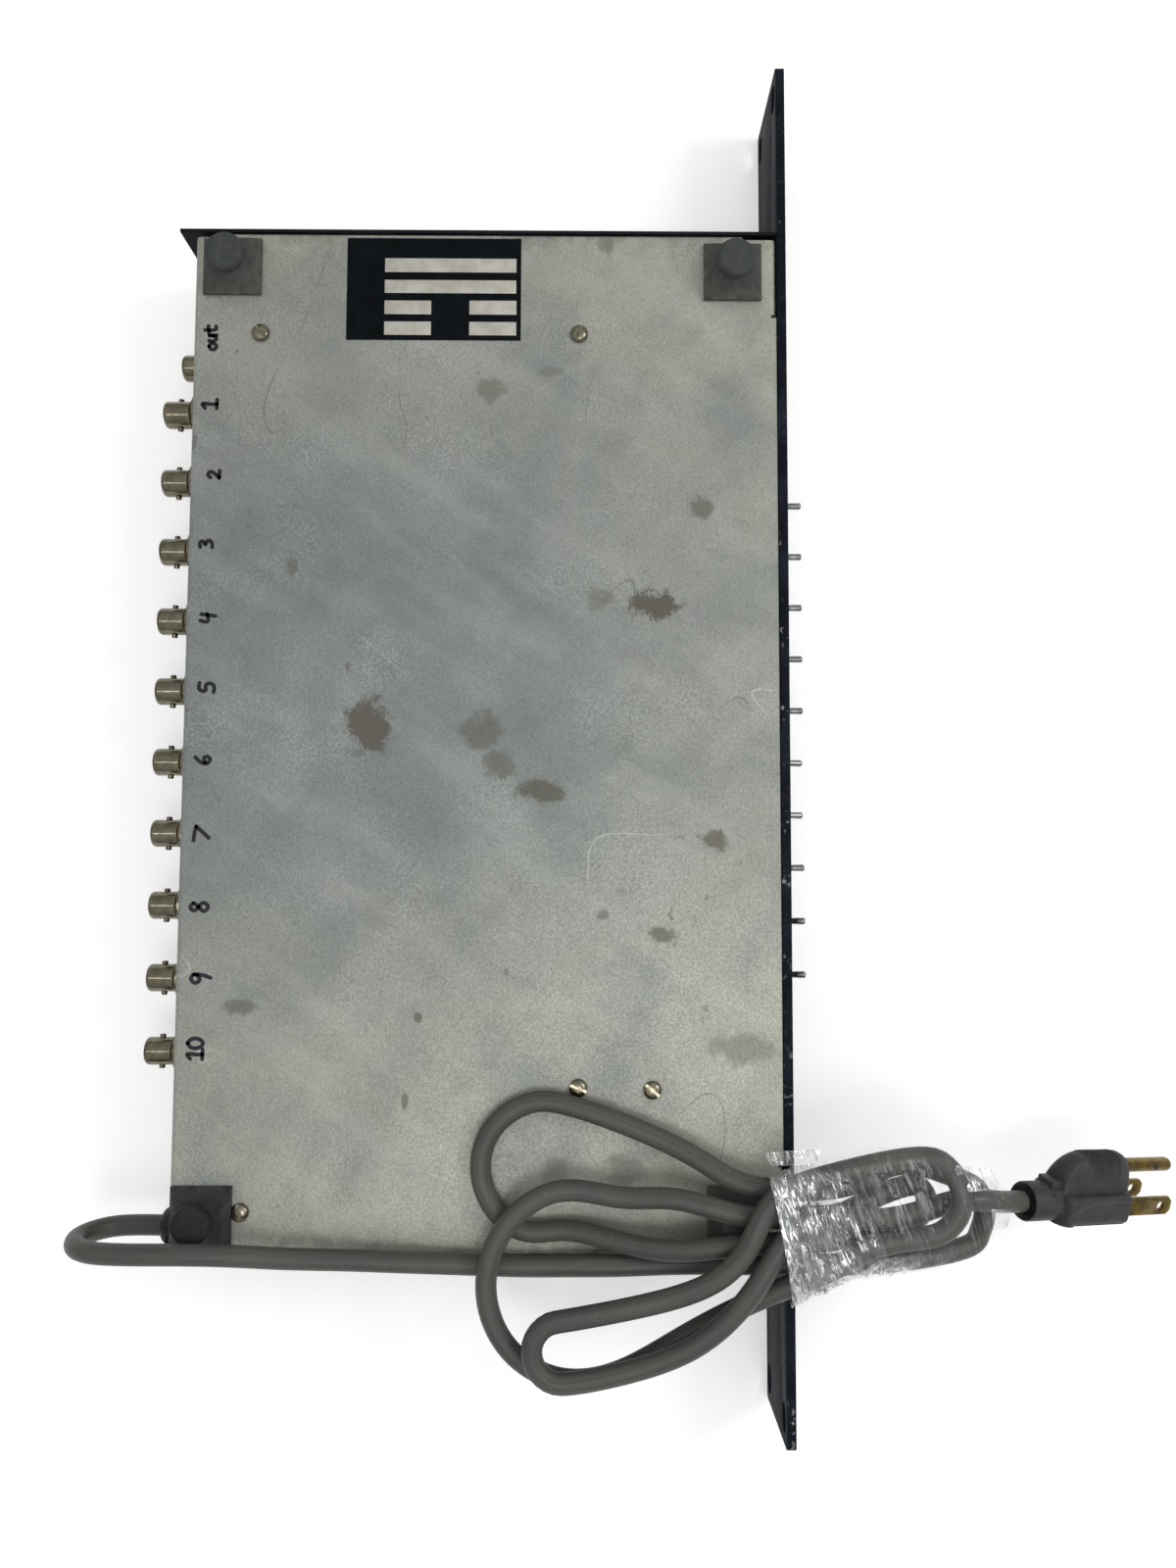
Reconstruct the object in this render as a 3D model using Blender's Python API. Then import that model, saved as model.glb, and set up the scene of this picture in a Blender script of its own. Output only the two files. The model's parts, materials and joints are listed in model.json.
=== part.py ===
"""Rack-mounted switching unit, one rack unit high, lying on its top cover.

The underside faces up (+Z), the front panel faces -Y and its length runs along X.
All sizes are in metres.
"""

import math
from dataclasses import dataclass

import bmesh
import bpy
import numpy as np
from mathutils import Matrix, Vector
from mathutils.geometry import delaunay_2d_cdt

# Front panel: the standard 19 inch rack width and a single rack unit of height
PANEL_WIDTH = 0.4826
PANEL_HEIGHT = 0.04366
PANEL_THICKNESS = 0.003175
PANEL_CORNER = 0.0015
SLOT_INSET_X = 0.00875
SLOT_PITCH_Z = 0.03175
SLOT_LENGTH = 0.0103
SLOT_HEIGHT = 0.0069

# Sheet metal chassis
CHASSIS_WIDTH = 0.3564
CHASSIS_DEPTH = 0.2075
SHEET = 0.0012
BEND_RADIUS = 0.0018
CLEARANCE = 0.0003
PAN_SETBACK = 0.00066
SIDE_FLANGE_DEPTH = 0.012
SIDE_FLANGE_INSET = 0.012
TAB_WIDTH = 0.0275
TAB_DEPTH = 0.030
RELIEF_WIDTH = 0.0012
COVER_SETBACK = 0.001
COVER_OVERHANG = 0.0059

# Bumper feet, stuck on by hand near the corners of the pan
FOOT_BASE = 0.0205
FOOT_BASE_EDGE = 0.0012
FOOT_HEIGHT = 0.0132
FOOT_HEAD = 0.0138
FOOT_HEAD_HEIGHT = 0.0038
FOOT_NECK = 0.0004
FOOT_TREAD = 0.0098
FOOT_INSETS = ((0.0131, 0.0136), (0.0142, 0.0156), (0.0127, 0.0111), (0.0132, 0.0156))

# Rear connectors
CONNECTOR_COUNT = 10
CONNECTOR_PITCH = 0.0254
CONNECTOR_INSET = 0.0620
CONNECTOR_DROP = 0.0145
OUT_CONNECTOR_RISE = 0.00846
CONNECTOR_REACH = 0.0133
CONNECTOR_RADIUS = 0.00485
CONNECTOR_WALL = 0.00075
CONNECTOR_BORE_DEPTH = 0.0083
CONNECTOR_BODY_RADIUS = 0.0047
CONNECTOR_NUT_FLATS = 0.0138
CONNECTOR_NUT_HEIGHT = 0.0023
CONNECTOR_CORE_RADIUS = 0.0024
CONNECTOR_CORE_RECESS = 0.0012
CONNECTOR_FLANGE_RADIUS = 0.0064
CONNECTOR_FLANGE_THICKNESS = 0.002
CONNECTOR_TAIL_RADIUS = 0.003
CONNECTOR_TAIL_LENGTH = 0.009
LUG_HEIGHT = 0.0011
LUG_LENGTH = 0.0018
LUG_RECESS = 0.0043

# Toggle switches and lamps on the front
SWITCH_COUNT = 10
SWITCH_PITCH = 0.01905
LEVER_REACH = 0.008425
LEVER_RADIUS = 0.00125
LEVER_BALL_RADIUS = 0.0023
LEVER_TIP = 0.0007
LEVER_SWING = math.radians(12.0)
LEVER_TILTS = (0, 0, 0, 0, 0, -1, -1, 0, 1, 1)
BUSHING_PROUD = 0.003
BUSHING_RADIUS = 0.0033
BUSHING_BORE = 0.00265
PIVOT_DEPTH = 0.0045
CASE_WIDTH = 0.008
CASE_HEIGHT = 0.013
CASE_DEPTH = 0.0104
LAMP_DROP = 0.0105
LAMP_RADIUS = 0.0015
LAMP_PROUD = 0.0024
LAMP_FLANGE_RADIUS = 0.0019
LAMP_CROWN = 0.0005
SWITCH_BOARD_MARGIN = 0.012
SWITCH_BOARD_HEIGHT = 0.034

# Boards, supply and fasteners inside
BOARD_THICKNESS = 0.0016
STANDOFF_HEIGHT = 0.007
STANDOFF_RADIUS = 0.0032
SCREW_SHANK_RADIUS = 0.00145
SCREW_SHANK_LENGTH = 0.0055
SCREW_HEAD_RADIUS = 0.0028
SCREW_HEAD_HEIGHT = 0.0019
SCREW_SLOT_WIDTH = 0.0008
SCREW_SLOT_DEPTH = 0.001
SCREW_SLOT_ANGLES = (35.0, -20.0, 68.0, 50.0, 15.0)
EARTH_INSET = (0.0142, 0.0241)
BOARD_INSETS = ((0.0372, 0.0240), (0.0370, 0.0702), (0.0556, 0.0695))
BOARD_MARGIN = 0.009
CHIP_WIDTH = 0.007
CHIP_LENGTH = 0.020
CHIP_HEIGHT = 0.0042
CHIP_SETBACK = 0.024
CAN_RADIUS = 0.008
CAN_HEIGHT = 0.0217
CAN_SETBACK = 0.0168
CAN_PITCH = 0.020
STANDOFF_FLOOR = 0.001
CORE_INSET = (0.0550, 0.0443)
CORE_LEG = 0.0063
CORE_STACK = 0.014
CORE_FOOT = 0.0095
CORE_FOOT_THICKNESS = 0.0012
WINDING_CORNER = 0.0015

# Mains cord, its strain relief, wrap and plug
CORD_DIAMETER = 0.007
RELIEF_INSET = 0.0071
RELIEF_DROP = 0.011
RELIEF_REACH = 0.0046
RELIEF_HEAD_RADIUS = 0.0065
RELIEF_NECK_RADIUS = 0.0054
RELIEF_INSIDE = 0.009
RELIEF_WALL = 0.0012
CORD_INSIDE = 0.0069
WRAP_FROM_Y = -0.1015
WRAP_TO_Y = -0.1280
WRAP_SLANT = 0.19
WRAP_HALF_WIDTH = 0.025
WRAP_WALL = 0.0005
WRAP_GAP = 0.0007
PLUG_LENGTH = 0.0425
PLUG_COLLAR_RADIUS = 0.0064
PLUG_COLLAR_LENGTH = 0.0145
PLUG_SHOULDER_LENGTH = 0.011
PLUG_EDGE = 0.0012
PLUG_HALF_WIDTH = 0.0110
PLUG_HALF_HEIGHT = 0.01265
PLUG_RISE = 0.00415
PLUG_GROUND_TAPER = 0.45
PLUG_DROOP = math.radians(24.2)
PLUG_SWING = math.radians(-4.6)
PLUG_ROLL = math.radians(-77.6)
BLADE_SPACING = 0.0127
BLADE_WIDTH = 0.00635
BLADE_THICKNESS = 0.0015
BLADE_LENGTH = 0.0178
BLADE_CORNER = 0.0016
BLADE_HOLE_RADIUS = 0.0016
BLADE_HOLE_INSET = 0.0048
GROUND_PIN_RADIUS = 0.0024
GROUND_PIN_LENGTH = 0.021
GROUND_PIN_OFFSET = 0.0119
PIN_NOSE = 0.0018

# Where things are, worked out from the sizes above
FRONT_REACH = PANEL_THICKNESS + LEVER_REACH
REAR_REACH = CHASSIS_DEPTH + CONNECTOR_REACH
PANEL_BACK_Y = (FRONT_REACH - REAR_REACH) / 2
PANEL_FRONT_Y = PANEL_BACK_Y - PANEL_THICKNESS
REAR_WALL_Y = PANEL_BACK_Y + CHASSIS_DEPTH
PAN_FRONT_Y = PANEL_BACK_Y + CLEARANCE
PAN_Z = PANEL_HEIGHT - PAN_SETBACK
PAN_INSIDE_Z = PAN_Z - SHEET
COVER_Z = COVER_SETBACK
COVER_INSIDE_Z = COVER_Z + SHEET
PAN_HALF = CHASSIS_WIDTH / 2
COVER_HALF = PAN_HALF + CLEARANCE + SHEET
SWITCH_Z = PANEL_HEIGHT / 2
LAMP_Z = SWITCH_Z - LAMP_DROP
CONNECTOR_FIRST_X = PAN_HALF - CONNECTOR_INSET
CONNECTOR_Z = PANEL_HEIGHT - CONNECTOR_DROP
RELIEF_X = RELIEF_INSET - PAN_HALF
RELIEF_Z = PANEL_HEIGHT - RELIEF_DROP
BUSHING_MOUTH_Y = PANEL_FRONT_Y - BUSHING_PROUD
PIVOT_Y = BUSHING_MOUTH_Y + PIVOT_DEPTH
BUSHING_FLOOR_Y = PIVOT_Y + LEVER_BALL_RADIUS + CLEARANCE
CASE_FRONT_Y = BUSHING_FLOOR_Y + CLEARANCE
SWITCH_BOARD_Y = CASE_FRONT_Y + CASE_DEPTH
BOARD_TOP_Z = PAN_INSIDE_Z - STANDOFF_HEIGHT
LEVER_LENGTH = PIVOT_Y - PANEL_FRONT_Y + LEVER_REACH
JOIN_OVERLAP = 0.0003
BOLT_HOLE_RADIUS = SCREW_SHANK_RADIUS + CLEARANCE
CORD_RADIUS = CORD_DIAMETER / 2


def pan_place(side_x, side_y, inset):
    """Return a place on the pan by its distances from the edges on the given sides."""
    edge_y = REAR_WALL_Y if side_y > 0 else PAN_FRONT_Y
    return side_x * (PAN_HALF - inset[0]), edge_y - side_y * inset[1]


FOOT_PLACES = (
    pan_place(1, 1, FOOT_INSETS[0]), pan_place(1, -1, FOOT_INSETS[1]),
    pan_place(-1, 1, FOOT_INSETS[2]), pan_place(-1, -1, FOOT_INSETS[3]),
)
BOARD_SCREWS = (
    pan_place(1, 1, BOARD_INSETS[0]), pan_place(1, -1, BOARD_INSETS[1]), pan_place(-1, -1, BOARD_INSETS[2]),
)
CORE_SCREW = pan_place(-1, -1, CORE_INSET)
EARTH_SCREW = pan_place(-1, 1, EARTH_INSET)

# Free cord route, chosen by hand: x, y and height of the centre line over the pan
LEAD_ROUTE = (
    (-0.1713, 0.1210, -0.0108), (-0.1717, 0.1282, -0.0078), (-0.1722, 0.1322, -0.0005),
    (-0.1727, 0.1305, 0.0080), (-0.1730, 0.1245, 0.0136), (-0.1730, 0.1150, 0.0162),
    (-0.1729, 0.1020, 0.0170), (-0.1730, 0.0887, 0.0168), (-0.1742, 0.0750, 0.0141),
    (-0.1759, 0.0611, 0.0108), (-0.1772, 0.0430, 0.0078), (-0.1783, 0.0252, 0.0061),
    (-0.1793, 0.0050, 0.0049), (-0.1800, -0.0165, 0.0047), (-0.1798, -0.0330, 0.0052),
    (-0.1793, -0.0480, 0.0064),
)
TAIL_ROUTE = (
    (-0.1599, -0.1392, 0.0188), (-0.1578, -0.1480, 0.0180), (-0.1555, -0.1570, 0.0172),
    (-0.1556, -0.1675, 0.0154),
)
PLUG_PLACE = (-0.1577, -0.1822, 0.0081)


@dataclass(frozen=True)
class Bow:
    """One end loop of the hank: an arc of the cord's centre line, level by level.

    Angles run from +X towards +Y, and heights are over the pan.
    """

    centre: tuple
    radius: float
    start: float
    end: float
    height_in: float
    height_mid: float
    height_out: float


# The hank's bows in the order that the cord makes them, with its passes through the waist
REAR_BOWS = (
    Bow((-0.1480, -0.0240), 0.0218, -20.0, 200.0, 0.0044, 0.0038, 0.0042),
    Bow((-0.1838, -0.0360), 0.0310, -25.0, 200.0, 0.0122, 0.0123, 0.0088),
    Bow((-0.2026, -0.0300), 0.0098, 0.0, 185.0, 0.0187, 0.0183, 0.0182),
)
FRONT_BOWS = (
    Bow((-0.1617, -0.1603), 0.0105, 206.0, 338.0, 0.0092, 0.0036, 0.0078),
    Bow((-0.1584, -0.1456), 0.0056, 185.0, 350.0, 0.0066, 0.0046, 0.0060),
    Bow((-0.1521, -0.1440), 0.0125, 192.0, 345.0, 0.0252, 0.0262, 0.0250),
)
WAIST_PASSES = (
    ((-0.1783, -0.0650, 0.0076), (-0.1768, -0.0900, 0.0122), (-0.1769, -0.1100, 0.0128),
     (-0.1767, -0.1245, 0.0124), (-0.1752, -0.1464, 0.0108)),
    ((-0.1450, -0.1430, 0.0108), (-0.1486, -0.1310, 0.0120), (-0.1522, -0.1200, 0.0126),
     (-0.1516, -0.0906, 0.0130), (-0.1425, -0.0720, 0.0092)),
    ((-0.1724, -0.0600, 0.0118), (-0.1694, -0.0890, 0.0172), (-0.1690, -0.1100, 0.0152),
     (-0.1676, -0.1270, 0.0116)),
    ((-0.1566, -0.1320, 0.0092), (-0.1606, -0.1200, 0.0136), (-0.1608, -0.1060, 0.0156),
     (-0.1603, -0.0890, 0.0172), (-0.1555, -0.0670, 0.0152)),
    ((-0.2000, -0.0690, 0.0126), (-0.1866, -0.0920, 0.0176), (-0.1786, -0.1090, 0.0212),
     (-0.1732, -0.1200, 0.0224), (-0.1676, -0.1300, 0.0242)),
    ((-0.1452, -0.1190, 0.0222), (-0.1538, -0.0970, 0.0248), (-0.1668, -0.0893, 0.0256),
     (-0.1775, -0.0800, 0.0242), (-0.1862, -0.0600, 0.0210)),
    ((-0.2058, -0.0590, 0.0198), (-0.1950, -0.0780, 0.0230), (-0.1790, -0.0920, 0.0252),
     (-0.1645, -0.1020, 0.0250), (-0.1590, -0.1147, 0.0228), (-0.1604, -0.1283, 0.0203)),
)
BOW_POINTS = 7
HANK_STEP = 0.0055
CORD_STEP = 0.0085
FINE_STEP = 0.001
CURVE_DENSITY = 24
CAP_GAP = 0.0003

LATHE_SIDES = 12
SMALL_SIDES = 8
FOOT_SIDES = 24
FOOT_EDGE_STEPS = 3
PLUG_SIDES = 20
BEND_STEPS = 3


def clear_scene():
    """Remove every object that is in the scene."""
    for thing in list(bpy.data.objects):
        bpy.data.objects.remove(thing)


def make_material(name, red, green, blue, roughness, metallic):
    """Return a Principled material of a plain colour."""
    material = bpy.data.materials.new(name)
    material.use_nodes = True
    shader = material.node_tree.nodes["Principled BSDF"]
    shader.inputs["Base Color"].default_value = (red, green, blue, 1.0)
    shader.inputs["Roughness"].default_value = roughness
    shader.inputs["Metallic"].default_value = metallic
    return material


def make_materials():
    """Return the materials of the unit by name."""
    return {
        "zinc": make_material("zinc", 0.28, 0.28, 0.25, 0.45, 1.0),
        "black_paint": make_material("black_paint", 0.013, 0.016, 0.023, 0.4, 0.0),
        "rubber": make_material("rubber", 0.06, 0.063, 0.063, 0.7, 0.0),
        "nickel": make_material("nickel", 0.36, 0.33, 0.27, 0.3, 1.0),
        "chrome": make_material("chrome", 0.55, 0.55, 0.55, 0.15, 1.0),
        "lens": make_material("lens", 0.35, 0.01, 0.01, 0.2, 0.0),
        "board": make_material("board", 0.02, 0.10, 0.04, 0.5, 0.0),
        "steel": make_material("steel", 0.20, 0.20, 0.20, 0.5, 1.0),
        "winding": make_material("winding", 0.45, 0.33, 0.12, 0.6, 0.0),
        "nylon": make_material("nylon", 0.012, 0.012, 0.013, 0.5, 0.0),
        "grey_vinyl": make_material("grey_vinyl", 0.08, 0.08, 0.073, 0.5, 0.0),
        "brass": make_material("brass", 0.35, 0.27, 0.09, 0.35, 1.0),
        "film": make_material("film", 0.75, 0.76, 0.77, 0.15, 0.0),
    }


def finish_mesh(name, bm, smooth_angle=math.radians(35.0)):
    """Turn a bmesh into a mesh with smooth shading below an angle."""
    mesh = bpy.data.meshes.new(name)
    bm.to_mesh(mesh)
    bm.free()
    mesh.shade_smooth()
    mesh.set_sharp_from_angle(angle=smooth_angle)
    return mesh


def add_object(name, mesh, material, place=(0.0, 0.0, 0.0)):
    """Add a named object for a mesh and give it its material."""
    thing = bpy.data.objects.new(name, mesh)
    thing.location = place
    if not mesh.materials:
        mesh.materials.append(material)
    bpy.context.scene.collection.objects.link(thing)
    return thing


def add_solid(name, bm, material, place=(0.0, 0.0, 0.0)):
    """Add a named object for a bmesh."""
    return add_object(name, finish_mesh(name, bm), material, place)


def add_cutter(name, bm):
    """Add a hidden tool body for a Boolean."""
    tool = add_object(name, finish_mesh(name, bm), None)
    tool.hide_render = True
    tool.display_type = "WIRE"
    return tool


def boolean(thing, tool, operation):
    """Cut a tool out of an object, or join it on."""
    modifier = thing.modifiers.new(tool.name, "BOOLEAN")
    modifier.operation = operation
    modifier.solver = "EXACT"
    modifier.object = tool


def join_into(target, source, matrix=Matrix.Identity(4)):
    """Copy a source bmesh into a target, moved by a matrix, and free the source."""
    source.transform(matrix)
    copies = {vert: target.verts.new(vert.co) for vert in source.verts}
    for face in source.faces:
        target.faces.new([copies[vert] for vert in face.verts])
    source.free()


def turned(axis_y=1.0):
    """Return the rotation that lays a solid's own Z axis along +Y or -Y."""
    return Matrix.Rotation(-axis_y * math.pi / 2, 4, "X")


def arc(centre, radius, start, end, steps):
    """Return points along an arc, both ends included, with angles in degrees."""
    angles = np.radians(np.linspace(start, end, steps + 1))
    return [(centre[0] + radius * math.cos(a), centre[1] + radius * math.sin(a)) for a in angles]


def circle(centre, radius, sides=LATHE_SIDES):
    """Return the corners of a round hole, counter-clockwise."""
    return arc(centre, radius, 0.0, 360.0, sides)[:-1]


def rounded_box(half_x, half_y, radius, steps=2, centre=(0.0, 0.0)):
    """Return a rectangle with round corners, counter-clockwise."""
    points = []
    for turn, (sx, sy) in enumerate(((1, 1), (-1, 1), (-1, -1), (1, -1))):
        corner = (centre[0] + sx * (half_x - radius), centre[1] + sy * (half_y - radius))
        points += arc(corner, radius, 90.0 * turn, 90.0 * turn + 90.0, steps)
    return points


def obround(centre, length, height, steps=6):
    """Return a slot outline with round ends, counter-clockwise."""
    radius = height / 2
    reach = length / 2 - radius
    right = arc((centre[0] + reach, centre[1]), radius, -90.0, 90.0, steps)
    left = arc((centre[0] - reach, centre[1]), radius, 90.0, 270.0, steps)
    return right + left


def bridge(bm, low, high):
    """Join two rings, either of which may be a single point."""
    count = max(len(low), len(high))
    for i in range(count):
        j = (i + 1) % count
        corners = [low[i % len(low)], low[j % len(low)], high[j % len(high)], high[i % len(high)]]
        bm.faces.new(list(dict.fromkeys(corners)))


def lathe(profile, sides=LATHE_SIDES, hexagon=None):
    """Turn (radius, height) points into a closed solid about Z.

    Rings whose radius is hexagon get that size across half of their flats.
    """
    bm = bmesh.new()
    rings = []
    for radius, height in profile:
        if radius == 0.0:
            rings.append([bm.verts.new((0.0, 0.0, height))])
            continue
        ring = []
        for i in range(sides):
            angle = 2 * math.pi * i / sides
            reach = radius
            if radius == hexagon:
                reach = radius / math.cos((angle % (math.pi / 3)) - math.pi / 6)
            ring.append(bm.verts.new((reach * math.cos(angle), reach * math.sin(angle), height)))
        rings.append(ring)
    for low, high in zip(rings, rings[1:]):
        bridge(bm, low, high)
    return bm


def loft(rings):
    """Skin a list of rings of equal count and cap both ends."""
    bm = bmesh.new()
    skins = [[bm.verts.new(point) for point in ring] for ring in rings]
    for low, high in zip(skins, skins[1:]):
        bridge(bm, low, high)
    bm.faces.new(list(reversed(skins[0])))
    bm.faces.new(skins[-1])
    return bm


def is_inside(point, loop):
    """Say whether a flat point lies inside a loop."""
    inside = False
    for (ax, ay), (bx, by) in zip(loop, loop[1:] + loop[:1]):
        if (ay > point[1]) != (by > point[1]):
            inside ^= point[0] < ax + (bx - ax) * (point[1] - ay) / (by - ay)
    return inside


def fill(loops):
    """Return the triangles between an outline and its holes, as indices, counter-clockwise."""
    flat = [point for loop in loops for point in loop]
    edges = []
    for loop in loops:
        start = len(edges)
        edges += [(start + i, start + (i + 1) % len(loop)) for i in range(len(loop))]
    places, _, faces, origins, _, _ = delaunay_2d_cdt([Vector(p) for p in flat], edges, [], 1, 1e-9)
    triangles = []
    for face in faces:
        middle = sum((places[i] for i in face), Vector((0.0, 0.0))) / len(face)
        if is_inside(middle, loops[0]) and not any(is_inside(middle, hole) for hole in loops[1:]):
            triangles.append([origins[i][0] for i in face])
    return triangles


def prism(outline, holes, depth):
    """Extrude an outline with holes from z = 0 to depth."""
    loops = [outline] + [list(reversed(hole)) for hole in holes]
    flat = [point for loop in loops for point in loop]
    bm = bmesh.new()
    low = [bm.verts.new((x, y, 0.0)) for x, y in flat]
    high = [bm.verts.new((x, y, depth)) for x, y in flat]
    for a, b, c in fill(loops):
        bm.faces.new((low[a], low[c], low[b]))
        bm.faces.new((high[a], high[b], high[c]))
    start = 0
    for loop in loops:
        bridge(bm, low[start:start + len(loop)], high[start:start + len(loop)])
        start += len(loop)
    return bm


def box(low, high):
    """Return a rectangular block between two corners."""
    outline = [(low[0], low[1]), (high[0], low[1]), (high[0], high[1]), (low[0], high[1])]
    bm = prism(outline, [], high[2] - low[2])
    bm.transform(Matrix.Translation((0.0, 0.0, low[2])))
    return bm


@dataclass(frozen=True)
class Line:
    """A grid line of a sheet's flat pattern: its place, drop and lean once folded."""

    place: float
    drop: float = 0.0
    lean: float = 0.0


def bend_lines(edge, sign, depth):
    """Return the grid lines of a bend at a sheet's edge, ending at the flange's rim."""
    lines = []
    for step in range(BEND_STEPS + 1):
        angle = math.pi / 2 * step / BEND_STEPS
        place = edge - sign * BEND_RADIUS * (1.0 - math.sin(angle))
        drop = BEND_RADIUS * (1.0 - math.cos(angle))
        lines.append(Line(place, drop, sign * angle))
    lines.append(Line(edge, depth, sign * math.pi / 2))
    return lines


def sheet_point(column, row, skin):
    """Place a point of the flat pattern on a folded sheet's outer or inner skin."""
    normal = Vector((math.sin(column.lean), math.sin(row.lean), 1.0))
    normal.z = math.cos(column.lean) * math.cos(row.lean)
    point = Vector((column.place, row.place, -column.drop - row.drop))
    return point - normal * skin


def folded_sheet(columns, row_of, row_count, kept):
    """Build a folded sheet, outer face at z = 0 and flanges down, from its flat pattern.

    row_of gives the grid line at a column and row, and kept says which cells have metal.
    """
    bm = bmesh.new()
    points = {}

    def corner(i, j, skin):
        if (i, j, skin) not in points:
            place = sheet_point(columns[i], row_of(i, j), skin * SHEET)
            points[i, j, skin] = bm.verts.new(place)
        return points[i, j, skin]

    cells = [(i, j) for i in range(len(columns) - 1) for j in range(row_count - 1) if kept(i, j)]
    for i, j in cells:
        around = ((i, j), (i + 1, j), (i + 1, j + 1), (i, j + 1))
        bm.faces.new([corner(*place, 0) for place in around])
        bm.faces.new([corner(*place, 1) for place in reversed(around)])
        beyond = ((i, j - 1), (i + 1, j), (i, j + 1), (i - 1, j))
        for side, cell in enumerate(beyond):
            if cell in cells:
                continue
            first = around[side]
            last = around[(side + 1) % 4]
            bm.faces.new((corner(*first, 1), corner(*last, 1), corner(*last, 0), corner(*first, 0)))
    bmesh.ops.dissolve_limit(bm, angle_limit=0.001, verts=bm.verts, edges=bm.edges)
    return bm


def build_pan(materials):
    """Build the chassis pan: floor, rear wall, side flanges and two front tabs."""
    tab_edge = PAN_HALF - BEND_RADIUS - TAB_WIDTH
    right = [Line(tab_edge - RELIEF_WIDTH), Line(tab_edge)] + bend_lines(PAN_HALF, 1, SIDE_FLANGE_DEPTH)
    left = [Line(-line.place, line.drop, -line.lean) for line in reversed(right)]
    columns = left + right
    rear = bend_lines(REAR_WALL_Y, 1, PAN_Z - COVER_INSIDE_Z - CLEARANCE)
    front = list(reversed(bend_lines(PAN_FRONT_Y, -1, TAB_DEPTH)))
    inner_rows = [Line(PAN_FRONT_Y + SIDE_FLANGE_INSET), Line(REAR_WALL_Y - SIDE_FLANGE_INSET)]
    rows = front + inner_rows + rear
    folds = len(front) - 1
    bend = BEND_STEPS + 1
    last = len(columns) - 1

    def is_tab(i):
        return i <= bend + 1 or i >= last - bend - 1

    def row_of(i, j):
        if j >= folds or is_tab(i):
            return rows[j]
        return Line(PAN_FRONT_Y + BEND_RADIUS * (j - 1) / (folds - 1))

    def kept(i, j):
        on_side = i < bend or i >= last - bend
        on_relief = i in (bend + 1, last - bend - 2)
        if on_side:
            return j == folds + 1
        if j < folds:
            return not on_relief and (j > 0 or is_tab(i) and is_tab(i + 1))
        return True

    bm = folded_sheet(columns, row_of, len(rows), kept)
    pan = add_solid("chassis_pan", bm, materials["zinc"], (0.0, 0.0, PAN_Z))
    holes = bmesh.new()
    for x, y in BOARD_SCREWS + (CORE_SCREW, EARTH_SCREW):
        join_into(holes, sheet_drill(BOLT_HOLE_RADIUS), Matrix.Translation((x, y, PAN_Z)))
    for x, z in connector_places():
        join_into(holes, sheet_drill(CONNECTOR_BODY_RADIUS + CLEARANCE), rear_place(x, z))
    join_into(holes, sheet_drill(RELIEF_NECK_RADIUS + CLEARANCE), rear_place(RELIEF_X, RELIEF_Z))
    boolean(pan, add_cutter("pan_holes", holes), "DIFFERENCE")


def sheet_drill(radius):
    """Return the body that drills a round hole through a sheet with its outer face at z = 0."""
    return lathe(((0.0, -2 * SHEET), (radius, -2 * SHEET), (radius, SHEET), (0.0, SHEET)))


def rear_place(x, z):
    """Return the place on the rear wall's outer face, with Z turned to the rear."""
    return Matrix.Translation((x, REAR_WALL_Y, z)) @ turned()


def build_cover(materials):
    """Build the top cover: a plate with two side walls that overhang the rear wall."""
    side_depth = PAN_Z - COVER_Z - CLEARANCE
    right = bend_lines(COVER_HALF, 1, side_depth)
    left = [Line(-line.place, line.drop, -line.lean) for line in reversed(right)]
    columns = left + right
    rows = (Line(PAN_FRONT_Y), Line(REAR_WALL_Y + COVER_OVERHANG))
    bm = folded_sheet(columns, lambda i, j: rows[j], 2, lambda i, j: True)
    bm.transform(Matrix.Rotation(math.pi, 4, "Y"))
    add_solid("top_cover", bm, materials["black_paint"], (0.0, 0.0, COVER_Z))


def switch_places():
    """Return the X places of the toggle switches, first to last along -X."""
    return [((SWITCH_COUNT - 1) / 2 - i) * SWITCH_PITCH for i in range(SWITCH_COUNT)]


def slot_places():
    """Return the centres of the four rack slots as X and Z."""
    half_x = PANEL_WIDTH / 2 - SLOT_INSET_X
    half_z = SLOT_PITCH_Z / 2
    return [(sx * half_x, SWITCH_Z + sz * half_z) for sx in (-1, 1) for sz in (-1, 1)]


def build_panel(materials):
    """Build the front panel with its rack slots and the holes for switches and lamps."""
    outline = rounded_box(PANEL_WIDTH / 2, PANEL_HEIGHT / 2, PANEL_CORNER)
    outline = [(x, z + SWITCH_Z) for x, z in outline]
    holes = [obround(place, SLOT_LENGTH, SLOT_HEIGHT) for place in slot_places()]
    for x in switch_places():
        holes.append(circle((x, SWITCH_Z), BUSHING_RADIUS + CLEARANCE))
        holes.append(circle((x, LAMP_Z), LAMP_RADIUS + CLEARANCE, SMALL_SIDES))
    bm = prism(outline, holes, PANEL_THICKNESS)
    bm.transform(Matrix.Rotation(math.pi / 2, 4, "X"))
    add_solid("front_panel", bm, materials["black_paint"], (0.0, PANEL_BACK_Y, 0.0))


def squircle(half, power, height, sides):
    """Return a ring between a round-cornered square and a circle."""
    ring = []
    for i in range(sides):
        angle = 2 * math.pi * i / sides
        spread = abs(math.cos(angle)) ** power + abs(math.sin(angle)) ** power
        reach = half / spread ** (1.0 / power)
        ring.append((reach * math.cos(angle), reach * math.sin(angle), height))
    return ring


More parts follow.
